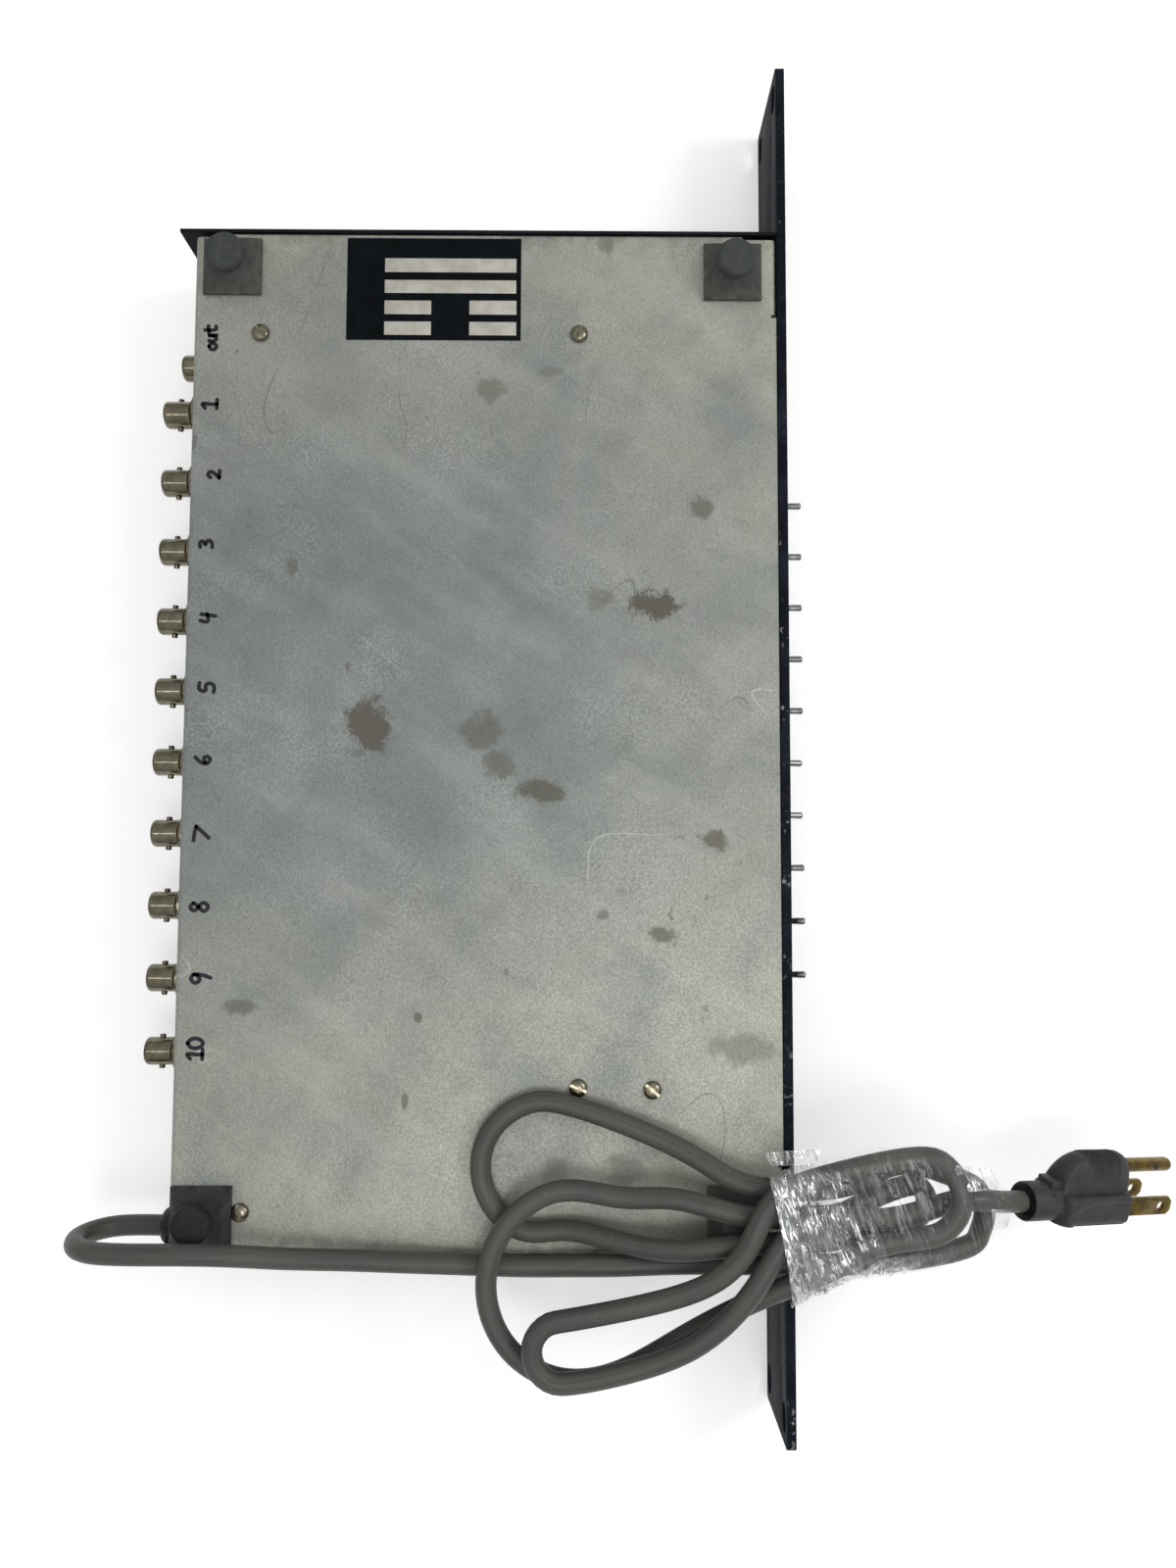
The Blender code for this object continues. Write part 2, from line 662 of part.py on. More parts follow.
def square(half, height, sides):
    """Return a square ring with its points at even angles, so that it skins onto a circle."""
    ring = []
    for i in range(sides):
        angle = 2 * math.pi * i / sides
        reach = half / max(abs(math.cos(angle)), abs(math.sin(angle)))
        ring.append((reach * math.cos(angle), reach * math.sin(angle), height))
    return ring


def foot_rings():
    """Return a foot's rings: a square base drawn in to a round head with a flat tread."""
    half = FOOT_BASE / 2
    head = FOOT_HEAD / 2
    tread = FOOT_TREAD / 2
    rise = FOOT_HEIGHT - CLEARANCE
    head_low = rise - FOOT_HEAD_HEIGHT
    rings = [square(half, 0.0, FOOT_SIDES), square(half, FOOT_BASE_EDGE, FOOT_SIDES)]
    levels = [(head - FOOT_NECK, head_low), (head, head_low + FOOT_NECK)]
    edge = head - tread
    for angle in np.radians(np.linspace(0.0, 90.0, FOOT_EDGE_STEPS + 1)):
        levels.append((tread + edge * math.cos(angle), rise - edge * (1.0 - math.sin(angle))))
    for radius, height in levels:
        rings.append([(x, y, height) for x, y in circle((0.0, 0.0), radius, FOOT_SIDES)])
    return rings


def build_feet(materials):
    """Build the four bumper feet, square at the pan and round at the tread."""
    rings = foot_rings()
    for index, (x, y) in enumerate(FOOT_PLACES, 1):
        add_solid(f"foot_{index}", loft(rings), materials["rubber"], (x, y, PAN_Z + CLEARANCE))


def connector_places():
    """Return the X and Z of the rear connectors, the output first."""
    row = [(CONNECTOR_FIRST_X - i * CONNECTOR_PITCH, CONNECTOR_Z) for i in range(CONNECTOR_COUNT)]
    return [(CONNECTOR_FIRST_X + CONNECTOR_PITCH, COVER_INSIDE_Z + OUT_CONNECTOR_RISE)] + row


def connector_body():
    """Return a bayonet jack about Z, its wall seat at z = 0 and its mouth up."""
    tail = -CONNECTOR_TAIL_LENGTH
    flange_high = -SHEET - CLEARANCE
    flange_low = flange_high - CONNECTOR_FLANGE_THICKNESS
    nut_low = CLEARANCE
    nut_high = nut_low + CONNECTOR_NUT_HEIGHT
    lug_high = CONNECTOR_REACH - LUG_RECESS
    lug_low = lug_high - LUG_LENGTH
    flats = CONNECTOR_NUT_FLATS / 2
    body = CONNECTOR_BODY_RADIUS
    barrel = CONNECTOR_RADIUS
    bore = barrel - CONNECTOR_WALL
    floor = CONNECTOR_REACH - CONNECTOR_BORE_DEPTH
    core = CONNECTOR_CORE_RADIUS
    core_end = CONNECTOR_REACH - CONNECTOR_CORE_RECESS
    profile = (
        (0.0, tail), (CONNECTOR_TAIL_RADIUS, tail), (CONNECTOR_TAIL_RADIUS, flange_low),
        (CONNECTOR_FLANGE_RADIUS, flange_low), (CONNECTOR_FLANGE_RADIUS, flange_high),
        (body, flange_high), (body, nut_low), (flats, nut_low), (flats, nut_high), (barrel, nut_high),
        (barrel, lug_low), (barrel, lug_high), (barrel, CONNECTOR_REACH), (bore, CONNECTOR_REACH),
        (bore, floor), (core, floor), (core, core_end), (0.0, core_end),
    )
    bm = lathe(profile, hexagon=flats)
    raise_lugs(bm, (lug_low + lug_high) / 2)
    return bm


def raise_lugs(bm, height):
    """Draw two opposite outer faces of the barrel out into bayonet lugs."""
    bm.normal_update()
    half_face = math.pi / LATHE_SIDES
    side = Vector((math.cos(half_face), math.sin(half_face), 0.0))
    lugs = []
    for face in bm.faces:
        centre = face.calc_center_median()
        level = abs(centre.z - height) < LUG_LENGTH / 2
        if level and abs(face.normal.dot(side)) > 0.99 and face.normal.dot(centre) > 0.0:
            lugs.append(face)
    for face in bmesh.ops.extrude_discrete_faces(bm, faces=lugs)["faces"]:
        bmesh.ops.translate(bm, verts=face.verts, vec=face.normal * LUG_HEIGHT)


def build_connectors(materials):
    """Build the output jack and the row of ten input jacks on the rear wall."""
    half_face = Matrix.Rotation(-math.pi / LATHE_SIDES, 4, "Z")
    for index, (x, z) in enumerate(connector_places()):
        name = f"jack_{index}" if index else "jack_out"
        bm = connector_body()
        bm.transform(turned() @ half_face)
        add_solid(name, bm, materials["nickel"], (x, REAR_WALL_Y, z))


def build_levers(materials):
    """Build the toggle levers, each with its ball centred on its joint axis."""
    ball = LEVER_BALL_RADIUS
    tip = LEVER_LENGTH
    root = math.sqrt(ball ** 2 - (0.9 * LEVER_RADIUS) ** 2)
    profile = (
        (0.0, -ball), (0.75 * ball, -0.66 * ball), (ball, 0.0), (0.9 * LEVER_RADIUS, root),
        (LEVER_RADIUS, tip - LEVER_TIP), (0.55 * LEVER_RADIUS, tip), (0.0, tip),
    )
    for index, (x, tilt) in enumerate(zip(switch_places(), LEVER_TILTS), 1):
        bm = lathe(profile, SMALL_SIDES)
        bm.transform(Matrix.Rotation(-tilt * LEVER_SWING, 4, "X") @ turned(-1.0))
        add_solid(f"toggle_lever_{index}", bm, materials["chrome"], (x, PIVOT_Y, SWITCH_Z))


def build_lamps(materials):
    """Build the lamps, standing on the switch board behind the panel."""
    base_y = SWITCH_BOARD_Y - CLEARANCE
    tip = base_y - PANEL_FRONT_Y + LAMP_PROUD
    flange_top = base_y - PANEL_BACK_Y - CLEARANCE
    profile = (
        (0.0, 0.0), (LAMP_FLANGE_RADIUS, 0.0), (LAMP_FLANGE_RADIUS, flange_top), (LAMP_RADIUS, flange_top),
        (LAMP_RADIUS, tip - LAMP_RADIUS), (0.75 * LAMP_RADIUS, tip - LAMP_CROWN), (0.0, tip),
    )
    for index, x in enumerate(switch_places(), 1):
        bm = lathe(profile, SMALL_SIDES)
        bm.transform(turned(-1.0))
        add_solid(f"lamp_{index}", bm, materials["lens"], (x, base_y, LAMP_Z))


def build_switch_board(materials):
    """Build the board that carries the switch cases, with their bushings through the panel."""
    half = switch_places()[0] + SWITCH_BOARD_MARGIN
    low = (-half, SWITCH_BOARD_Y, SWITCH_Z - SWITCH_BOARD_HEIGHT / 2)
    high = (half, SWITCH_BOARD_Y + BOARD_THICKNESS, SWITCH_Z + SWITCH_BOARD_HEIGHT / 2)
    board = add_solid("switch_board", box(low, high), materials["board"])
    cases = bmesh.new()
    bushings = bmesh.new()
    length = CASE_FRONT_Y + JOIN_OVERLAP - BUSHING_MOUTH_Y
    floor = CASE_FRONT_Y + JOIN_OVERLAP - BUSHING_FLOOR_Y
    profile = (
        (0.0, 0.0), (BUSHING_RADIUS, 0.0), (BUSHING_RADIUS, length), (BUSHING_BORE, length),
        (BUSHING_BORE, floor), (0.0, floor),
    )
    for x in switch_places():
        near = (x - CASE_WIDTH / 2, CASE_FRONT_Y, SWITCH_Z - CASE_HEIGHT / 2)
        far = (x + CASE_WIDTH / 2, SWITCH_BOARD_Y + JOIN_OVERLAP, SWITCH_Z + CASE_HEIGHT / 2)
        join_into(cases, box(near, far))
        seat = Matrix.Translation((x, CASE_FRONT_Y + JOIN_OVERLAP, SWITCH_Z))
        join_into(bushings, lathe(profile), seat @ turned(-1.0))
    boolean(board, add_cutter("switch_cases", cases), "UNION")
    boolean(board, add_cutter("switch_bushings", bushings), "UNION")


def build_main_board(materials):
    """Build the main board on its standoffs, with one switching chip for each input."""
    chip_xs = [x for x, _ in connector_places()[1:]]
    xs = [x for x, _ in BOARD_SCREWS] + chip_xs
    ys = [y for _, y in BOARD_SCREWS]
    low = (min(xs) - BOARD_MARGIN, min(ys) - BOARD_MARGIN, BOARD_TOP_Z - BOARD_THICKNESS)
    high = (max(xs) + BOARD_MARGIN, max(ys) + BOARD_MARGIN, BOARD_TOP_Z)
    board = add_solid("main_board", box(low, high), materials["board"])
    parts = bmesh.new()
    seat = low[2] + JOIN_OVERLAP
    chip_y = high[1] - CHIP_SETBACK
    for x in chip_xs:
        near = (x - CHIP_WIDTH / 2, chip_y - CHIP_LENGTH / 2, low[2] - CHIP_HEIGHT)
        far = (x + CHIP_WIDTH / 2, chip_y + CHIP_LENGTH / 2, seat)
        join_into(parts, box(near, far))
    can_low = low[2] - seat - CAN_HEIGHT
    can = ((0.0, can_low), (CAN_RADIUS, can_low), (CAN_RADIUS, 0.0), (0.0, 0.0))
    for x in (low[0] + CAN_PITCH, low[0] + 2 * CAN_PITCH):
        join_into(parts, lathe(can), Matrix.Translation((x, low[1] + CAN_SETBACK, seat)))
    boolean(board, add_cutter("board_parts", parts), "UNION")
    rim = STANDOFF_HEIGHT - 2 * CLEARANCE
    cup = (
        (0.0, 0.0), (STANDOFF_RADIUS, 0.0), (STANDOFF_RADIUS, rim), (BOLT_HOLE_RADIUS, rim),
        (BOLT_HOLE_RADIUS, STANDOFF_FLOOR), (0.0, STANDOFF_FLOOR),
    )
    for index, (x, y) in enumerate(BOARD_SCREWS, 1):
        place = (x, y, BOARD_TOP_Z + CLEARANCE)
        add_solid(f"standoff_{index}", lathe(cup), materials["nickel"], place)


def build_transformer(materials):
    """Build the supply transformer: a stack with a foot under its screw, and its winding."""
    leg = CORE_LEG
    half = 3 * leg
    height = 5 * leg
    top = PAN_INSIDE_Z - CLEARANCE
    centre_x = CORE_SCREW[0] - half - CORE_FOOT / 2
    foot = CORE_FOOT_THICKNESS
    outline = [
        (-half, -height), (half, -height), (half, -foot), (half + CORE_FOOT, -foot), (half + CORE_FOOT, 0.0),
        (-half - CORE_FOOT, 0.0), (-half - CORE_FOOT, -foot), (-half, -foot),
    ]
    windows = []
    for side in (-1, 1):
        inner, outer = sorted((side * leg, side * 2 * leg))
        windows.append([(inner, leg - height), (outer, leg - height), (outer, -leg), (inner, -leg)])
    bm = prism(outline, windows, CORE_STACK)
    bm.transform(Matrix.Rotation(math.pi / 2, 4, "X"))
    place = (centre_x, CORE_SCREW[1] + CORE_STACK / 2, top)
    core = add_solid("transformer_core", bm, materials["steel"], place)
    deep = 2 * CORE_FOOT_THICKNESS
    hole = BOLT_HOLE_RADIUS
    drill = lathe(((0.0, -deep), (hole, -deep), (hole, deep), (0.0, deep)))
    drill.transform(Matrix.Translation((*CORE_SCREW, top)))
    boolean(core, add_cutter("core_hole", drill), "DIFFERENCE")
    gap = CLEARANCE
    inside = rounded_box(leg + gap, CORE_STACK / 2 + gap, gap, 1)
    outside = rounded_box(2 * leg - gap, CORE_STACK / 2 + leg - gap, WINDING_CORNER)
    coil = prism(outside, [inside], height - 2 * leg - 2 * gap)
    coil_place = (centre_x, CORE_SCREW[1], top - height + leg + gap)
    add_solid("transformer_winding", coil, materials["winding"], coil_place)


def build_screws(materials):
    """Build the slotted round-head screws on the underside."""
    head = SCREW_HEAD_RADIUS
    rise = SCREW_HEAD_HEIGHT
    shank = SCREW_SHANK_RADIUS
    profile = (
        (0.0, -SCREW_SHANK_LENGTH), (shank, -SCREW_SHANK_LENGTH), (shank, 0.0), (head, 0.0),
        (head, 0.25 * rise), (0.82 * head, 0.7 * rise), (0.45 * head, rise), (0.0, rise),
    )
    slots = bmesh.new()
    places = BOARD_SCREWS + (CORE_SCREW, EARTH_SCREW)
    seat = PAN_Z + CLEARANCE
    screws = []
    for index, ((x, y), angle) in enumerate(zip(places, SCREW_SLOT_ANGLES), 1):
        place = Matrix.Translation((x, y, seat)) @ Matrix.Rotation(math.radians(angle), 4, "Z")
        half = SCREW_SLOT_WIDTH / 2
        cut = box((-2 * head, -half, rise - SCREW_SLOT_DEPTH), (2 * head, half, 2 * rise))
        join_into(slots, cut, place)
        screws.append(add_solid(f"screw_{index}", lathe(profile), materials["nickel"], (x, y, seat)))
    tool = add_cutter("screw_slots", slots)
    for screw in screws:
        boolean(screw, tool, "DIFFERENCE")


def smooth_curve(route, density):
    """Return points on one natural cubic curve through a route, and its knots' indices."""
    knots = np.array(route)
    gaps = np.sqrt(np.linalg.norm(np.diff(knots, axis=0), axis=1))
    count = len(knots)
    matrix = np.eye(count)
    sides = np.zeros_like(knots)
    for i in range(1, count - 1):
        matrix[i, i - 1:i + 2] = (gaps[i - 1], 2 * (gaps[i - 1] + gaps[i]), gaps[i])
        after = (knots[i + 1] - knots[i]) / gaps[i]
        before = (knots[i] - knots[i - 1]) / gaps[i - 1]
        sides[i] = 6 * (after - before)
    bends = np.linalg.solve(matrix, sides)
    points = []
    for i in range(count - 1):
        t = np.linspace(0.0, 1.0, density, endpoint=False)[:, None]
        sag_low = ((1 - t) ** 3 - (1 - t)) * bends[i]
        sag_high = (t ** 3 - t) * bends[i + 1]
        points.append((1 - t) * knots[i] + t * knots[i + 1] + (sag_low + sag_high) * gaps[i] ** 2 / 6)
    points.append(knots[-1:])
    return np.vstack(points), [i * density for i in range(count)]


def along(points):
    """Return the distance along a line of points at each point."""
    steps = np.linalg.norm(np.diff(points, axis=0), axis=1)
    return np.concatenate(([0.0], np.cumsum(steps)))


def stretch(points, start, end, step):
    """Return evenly spaced points on part of a line, between two distances along it."""
    distance = along(points)
    count = max(2, round((end - start) / step) + 1)
    wanted = np.linspace(start, end, count)
    return np.column_stack([np.interp(wanted, distance, points[:, k]) for k in range(3)])


def bow_points(bow):
    """Return the points of one end loop of the hank."""
    places = arc(bow.centre, bow.radius, bow.start, bow.end, BOW_POINTS - 1)
    shares = np.linspace(0.0, 1.0, BOW_POINTS)
    heights = (bow.height_in, bow.height_mid, bow.height_out)
    levels = np.polyval(np.polyfit((0.0, 0.5, 1.0), heights, 2), shares)
    return [(x, y, height) for (x, y), height in zip(places, levels)]


def hank_route():
    """Return the hank's route: passes through the waist, and bows by turns at either end."""
    route = list(WAIST_PASSES[0])
    for turn, (front, rear) in enumerate(zip(FRONT_BOWS, REAR_BOWS)):
        route += bow_points(front) + list(WAIST_PASSES[2 * turn + 1])
        route += bow_points(rear) + list(WAIST_PASSES[2 * turn + 2])
    return route


def plug_frame():
    """Return the plug's place and turn: its own Z runs from the cord to the blades."""
    x, y, height = PLUG_PLACE
    turn = Matrix.Rotation(PLUG_SWING, 4, "Z") @ Matrix.Rotation(PLUG_DROOP, 4, "X") @ turned(-1.0)
    return Matrix.Translation((x, y, PAN_Z + height)) @ turn @ Matrix.Rotation(PLUG_ROLL, 4, "Z")


def cord_line():
    """Return the whole cord's centre line and the distances where its nodes meet."""
    frame = plug_frame()
    axis = frame.to_3x3() @ Vector((0.0, 0.0, 1.0))
    plug_end = frame.translation - axis * CAP_GAP
    rear = REAR_WALL_Y
    lead = [(RELIEF_X, y, RELIEF_Z) for y in (rear - CORD_INSIDE, rear, rear + RELIEF_REACH)]
    lead += [(x, y, PAN_Z + height) for x, y, height in LEAD_ROUTE]
    hank = [(x, y, PAN_Z + height) for x, y, height in hank_route()]
    tail = [(x, y, PAN_Z + height) for x, y, height in TAIL_ROUTE]
    tail += [tuple(plug_end - axis * CORD_DIAMETER), tuple(plug_end)]
    points, knots = smooth_curve(lead + hank + tail, CURVE_DENSITY)
    distance = along(points)
    lead_end = distance[knots[len(lead) - 1]]
    hank_end = distance[knots[len(lead) + len(hank) - 1]]
    return points, (0.0, lead_end, hank_end, distance[-1])


def least_gap(points, diameter):
    """Return the least gap between stretches of a tube that aren't neighbours along it."""
    distance = along(points)
    spread = np.linalg.norm(points[:, None, :] - points[None, :, :], axis=2)
    apart = np.abs(distance[:, None] - distance[None, :]) > 2.5 * diameter
    return float(spread[apart].min()) - diameter


def add_tube(name, points, material, resolution):
    """Add a round tube along points as a curve with closed ends."""
    curve = bpy.data.curves.new(name, "CURVE")
    curve.dimensions = "3D"
    curve.bevel_depth = CORD_RADIUS
    curve.bevel_resolution = resolution
    curve.use_fill_caps = True
    spline = curve.splines.new("POLY")
    spline.points.add(len(points) - 1)
    for place, point in zip(spline.points, points):
        place.co = (*point, 1.0)
    spline.use_smooth = True
    return add_object(name, curve, material)


def node_points(points, start, end, step, square_start, square_end):
    """Return a cord node's points, with straight square ends where it meets another piece."""
    line = stretch(points, start, end, step)
    distance = along(points)
    for wanted, index, side in ((square_start, 0, 1), (square_end, -1, -1)):
        if wanted:
            place = start if side > 0 else end
            ahead = place + side * CORD_RADIUS
            heading = [np.interp((place, ahead), distance, points[:, k]) for k in range(3)]
            direction = np.diff(np.array(heading), axis=1)[:, 0]
            line[index + side] = line[index] + direction / np.linalg.norm(direction) * CORD_DIAMETER
    return line


def build_cord(materials):
    """Build the cord as its lead, its hank and its tail, and print the hank's least gap."""
    points, marks = cord_line()
    vinyl = materials["grey_vinyl"]
    half_gap = CAP_GAP / 2
    lead = node_points(points, marks[0], marks[1] - half_gap, CORD_STEP, False, True)
    hank = node_points(points, marks[1] + half_gap, marks[2] - half_gap, HANK_STEP, True, True)
    tail = node_points(points, marks[2] + half_gap, marks[3], CORD_STEP, True, True)
    add_tube("cord_lead", lead, vinyl, 2)
    add_tube("cord_hank", hank, vinyl, 1)
    add_tube("cord_tail", tail, vinyl, 2)
    fine = stretch(points, 0.0, marks[3], FINE_STEP)
    gap = least_gap(fine, CORD_DIAMETER)
    print(f"cord length {marks[3]:.3f} m, least gap to itself {gap * 1000:.2f} mm")
    build_wrap(materials, fine)


def hull(points):
    """Return the convex outline of flat points, counter-clockwise."""
    ordered = sorted(set(points))
    outline = []
    for run in (ordered, list(reversed(ordered))):
        part = []
        for x, z in run:
            while len(part) > 1 and turn_of(part[-2], part[-1], (x, z)) <= 1e-9:
                part.pop()
            part.append((x, z))
        outline += part[:-1]
    return outline


def turn_of(a, b, c):
    """Return which way three flat points turn: above zero to the left."""
    return (b[0] - a[0]) * (c[1] - a[1]) - (b[1] - a[1]) * (c[0] - a[0])


def build_wrap(materials, points):
    """Build the film band round the hank's waist, a sleeve clear of the strands in it."""
    reach = abs(WRAP_SLANT) * WRAP_HALF_WIDTH
    inside = (points[:, 1] < WRAP_FROM_Y + reach) & (points[:, 1] > WRAP_TO_Y - reach)
    strands = points[inside][:, (0, 2)]
    outlines = []
    for radius in (CORD_RADIUS + WRAP_GAP, CORD_RADIUS + WRAP_GAP + WRAP_WALL):
        rims = [point for strand in strands for point in circle(strand, radius, 16)]
        outlines.append(hull(rims))
    bm = prism(outlines[1], [outlines[0]], WRAP_FROM_Y - WRAP_TO_Y)
    bm.transform(Matrix.Rotation(math.pi / 2, 4, "X"))
    middle = float(strands[:, 0].mean())
    for vert in bm.verts:
        vert.co.y += WRAP_FROM_Y + WRAP_SLANT * (vert.co.x - middle)
    add_solid("cord_wrap", bm, materials["film"])


def build_strain_relief(materials):
    """Build the strain relief in the rear wall, a short domed bush round the cord."""
    bore = CORD_RADIUS + CLEARANCE
    neck = RELIEF_NECK_RADIUS
    head = RELIEF_HEAD_RADIUS
    catch = neck + RELIEF_WALL
    profile = (
        (bore, -RELIEF_INSIDE), (catch, -RELIEF_INSIDE), (catch, -SHEET - CLEARANCE),
        (neck, -SHEET - CLEARANCE), (neck, CLEARANCE), (head, CLEARANCE), (head, 0.4 * RELIEF_REACH),
        (0.9 * head, 0.8 * RELIEF_REACH), (bore + RELIEF_WALL, RELIEF_REACH), (bore, RELIEF_REACH),
    )
    bm = lathe(profile + profile[:1])
    bmesh.ops.remove_doubles(bm, verts=bm.verts, dist=1e-7)
    bm.transform(turned())
    add_solid("strain_relief", bm, materials["nylon"], (RELIEF_X, REAR_WALL_Y, RELIEF_Z))


def plug_ring(width, depth, power, height, share=0.0):
    """Return one cross-section of the plug, from its round collar to its one-sided body.

    share runs from 0 at the collar to 1 where the body is drawn in and raised to its ground side.
    """
    taper = share * PLUG_GROUND_TAPER / 2
    rise = share * PLUG_RISE
    ring = []
    for x, y, z in squircle(1.0, power, height, PLUG_SIDES):
        ring.append((x * width * (1.0 - taper * (y + 1.0)), y * depth + rise, z))
    return ring


def blade_plate():
    """Return a blade that stands up along Z, with cut tip corners and a round hole."""
    half = BLADE_WIDTH / 2
    cut = BLADE_CORNER
    end = BLADE_LENGTH
    tip = [(half, end - cut), (half - cut, end), (cut - half, end), (-half, end - cut)]
    outline = [(-half, 0.0), (half, 0.0)] + tip
    bm = prism(outline, [circle((0.0, end - BLADE_HOLE_INSET), BLADE_HOLE_RADIUS)], BLADE_THICKNESS)
    bm.transform(Matrix(((0, 0, 1, 0), (1, 0, 0, 0), (0, 1, 0, 0), (0, 0, 0, 1))))
    return bm


def build_plug(materials):
    """Build the moulded plug with its two blades and round ground pin."""
    frame = plug_frame()
    collar = PLUG_COLLAR_RADIUS
    wide = PLUG_HALF_WIDTH
    high = PLUG_HALF_HEIGHT
    neck = PLUG_COLLAR_LENGTH
    slope = PLUG_SHOULDER_LENGTH
    end = PLUG_LENGTH
    rings = [
        plug_ring(0.86 * collar, 0.86 * collar, 2.0, 0.0), plug_ring(collar, collar, 2.0, 0.12 * neck),
        plug_ring(collar, collar, 2.0, 0.9 * neck),
        plug_ring(0.78 * wide, 0.62 * high, 2.8, neck + 0.1 * slope, 0.25),
        plug_ring(0.94 * wide, 0.86 * high, 3.2, neck + 0.5 * slope, 0.7),
        plug_ring(wide, high, 3.6, neck + slope, 1.0), plug_ring(wide, high, 3.6, end - PLUG_EDGE, 1.0),
        plug_ring(0.95 * wide, 0.95 * high, 3.6, end, 1.0),
    ]
    body = loft(rings)
    body.transform(frame)
    add_solid("plug_body", body, materials["grey_vinyl"])
    root = PLUG_LENGTH + CAP_GAP
    for index, side in enumerate((-1, 1), 1):
        bm = blade_plate()
        place = (side * BLADE_SPACING / 2 - BLADE_THICKNESS / 2, 0.0, root)
        bm.transform(frame @ Matrix.Translation(place))
        add_solid(f"plug_blade_{index}", bm, materials["brass"])
    pin = GROUND_PIN_RADIUS
    profile = (
        (0.0, 0.0), (pin, 0.0), (pin, GROUND_PIN_LENGTH - PIN_NOSE),
        (0.55 * pin, GROUND_PIN_LENGTH - 0.17 * PIN_NOSE), (0.0, GROUND_PIN_LENGTH),
    )
    bm = lathe(profile)
    bm.transform(frame @ Matrix.Translation((0.0, GROUND_PIN_OFFSET, root)))
    add_solid("plug_ground_pin", bm, materials["brass"])


def main():
    """Build every piece of the unit."""
    clear_scene()
    materials = make_materials()
    build_pan(materials)
    build_cover(materials)
    build_panel(materials)
    build_feet(materials)
    build_connectors(materials)
    build_levers(materials)
    build_lamps(materials)
    build_switch_board(materials)
    build_main_board(materials)
    build_transformer(materials)
    build_screws(materials)
    build_strain_relief(materials)
    build_cord(materials)
    build_plug(materials)


main()
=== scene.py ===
"""Looks of a rack-mount signal switcher that lies on its top cover with its cord bundled on it.

The underside faces up (+Z), the front panel faces -Y and its length runs along X. Sizes are in metres.
"""

import json
import logging
import math
from dataclasses import dataclass, field
from enum import Enum

import bmesh
import bpy
import numpy as np
from mathutils import Matrix, Vector, noise

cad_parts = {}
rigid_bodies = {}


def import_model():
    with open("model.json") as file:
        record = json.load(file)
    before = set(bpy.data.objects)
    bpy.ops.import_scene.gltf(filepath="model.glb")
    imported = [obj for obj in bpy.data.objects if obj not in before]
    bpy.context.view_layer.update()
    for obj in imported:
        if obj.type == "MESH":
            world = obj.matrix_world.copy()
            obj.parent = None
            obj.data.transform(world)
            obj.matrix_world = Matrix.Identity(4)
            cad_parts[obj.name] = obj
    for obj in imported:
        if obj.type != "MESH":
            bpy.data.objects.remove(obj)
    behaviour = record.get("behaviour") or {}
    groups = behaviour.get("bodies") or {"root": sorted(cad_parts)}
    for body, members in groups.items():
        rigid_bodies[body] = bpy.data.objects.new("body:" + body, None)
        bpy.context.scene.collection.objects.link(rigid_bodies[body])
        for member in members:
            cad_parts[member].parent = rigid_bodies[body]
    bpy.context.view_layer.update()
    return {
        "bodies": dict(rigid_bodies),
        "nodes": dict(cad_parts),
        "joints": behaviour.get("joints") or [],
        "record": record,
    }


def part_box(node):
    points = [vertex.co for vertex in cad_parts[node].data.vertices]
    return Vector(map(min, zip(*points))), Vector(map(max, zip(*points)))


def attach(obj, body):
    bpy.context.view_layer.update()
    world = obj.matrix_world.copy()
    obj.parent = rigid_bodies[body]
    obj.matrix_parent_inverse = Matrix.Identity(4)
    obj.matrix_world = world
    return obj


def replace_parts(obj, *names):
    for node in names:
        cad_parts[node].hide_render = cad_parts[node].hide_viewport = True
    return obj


LOG = logging.getLogger("switcher")

Vec = tuple[float, float, float]
Flat = tuple[float, float]
Piece = bpy.types.Object
Shape = bmesh.types.BMesh
Vert = bmesh.types.BMVert
Layer = bmesh.types.BMLayerItem
Socket = bpy.types.NodeSocket
Tree = bpy.types.NodeTree

# Places that several pieces share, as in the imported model
PAN_Z = 0.0430
REAR_WALL_Y = 0.1029
PANEL_BACK_Y = -0.1046
PANEL_FRONT_Y = -0.107775
PANEL_MIDDLE_Z = 0.02183
CORD_RADIUS = 0.0035
# The room between a piece and what it stands on or in
GAP = 0.0003
# The angle in degrees over which an edge stays sharp
CREASE = 38.0
# Where a dome's last ring is, in radians up from its rim, so that it isn't a point
DOME_END = 1.45
WHITE = (1.0, 1.0, 1.0, 1.0)


class Body(str, Enum):
    """The rigid bodies that pieces ride on."""

    UNIT = "unit"
    LEVER = "lever"


class Slot(str, Enum):
    """The record's material slots."""

    ZINC = "zinc"
    PAINT = "black_paint"
    PANEL = "panel"
    RUBBER = "rubber"
    NICKEL = "nickel"
    SCREW = "screw_steel"
    CHROME = "chrome"
    LENS = "lens"
    BOARD = "board"
    CORE = "core_steel"
    WINDING = "winding"
    NYLON = "nylon"
    VINYL = "grey_vinyl"
    BRASS = "plug_brass"
    FILM = "film"


def linear(code: str) -> tuple[float, float, float, float]:
    """Turn an sRGB hex colour into linear red, green, blue and alpha.

    Args:
        code: The colour as six hex digits after a hash.

    Returns:
        The linear colour, opaque.
    """
    parts = [int(code[i:i + 2], 16) / 255 for i in (1, 3, 5)]
    tones = [part / 12.92 if part <= 0.04045 else ((part + 0.055) / 1.055) ** 2.4 for part in parts]
    return tones[0], tones[1], tones[2], 1.0


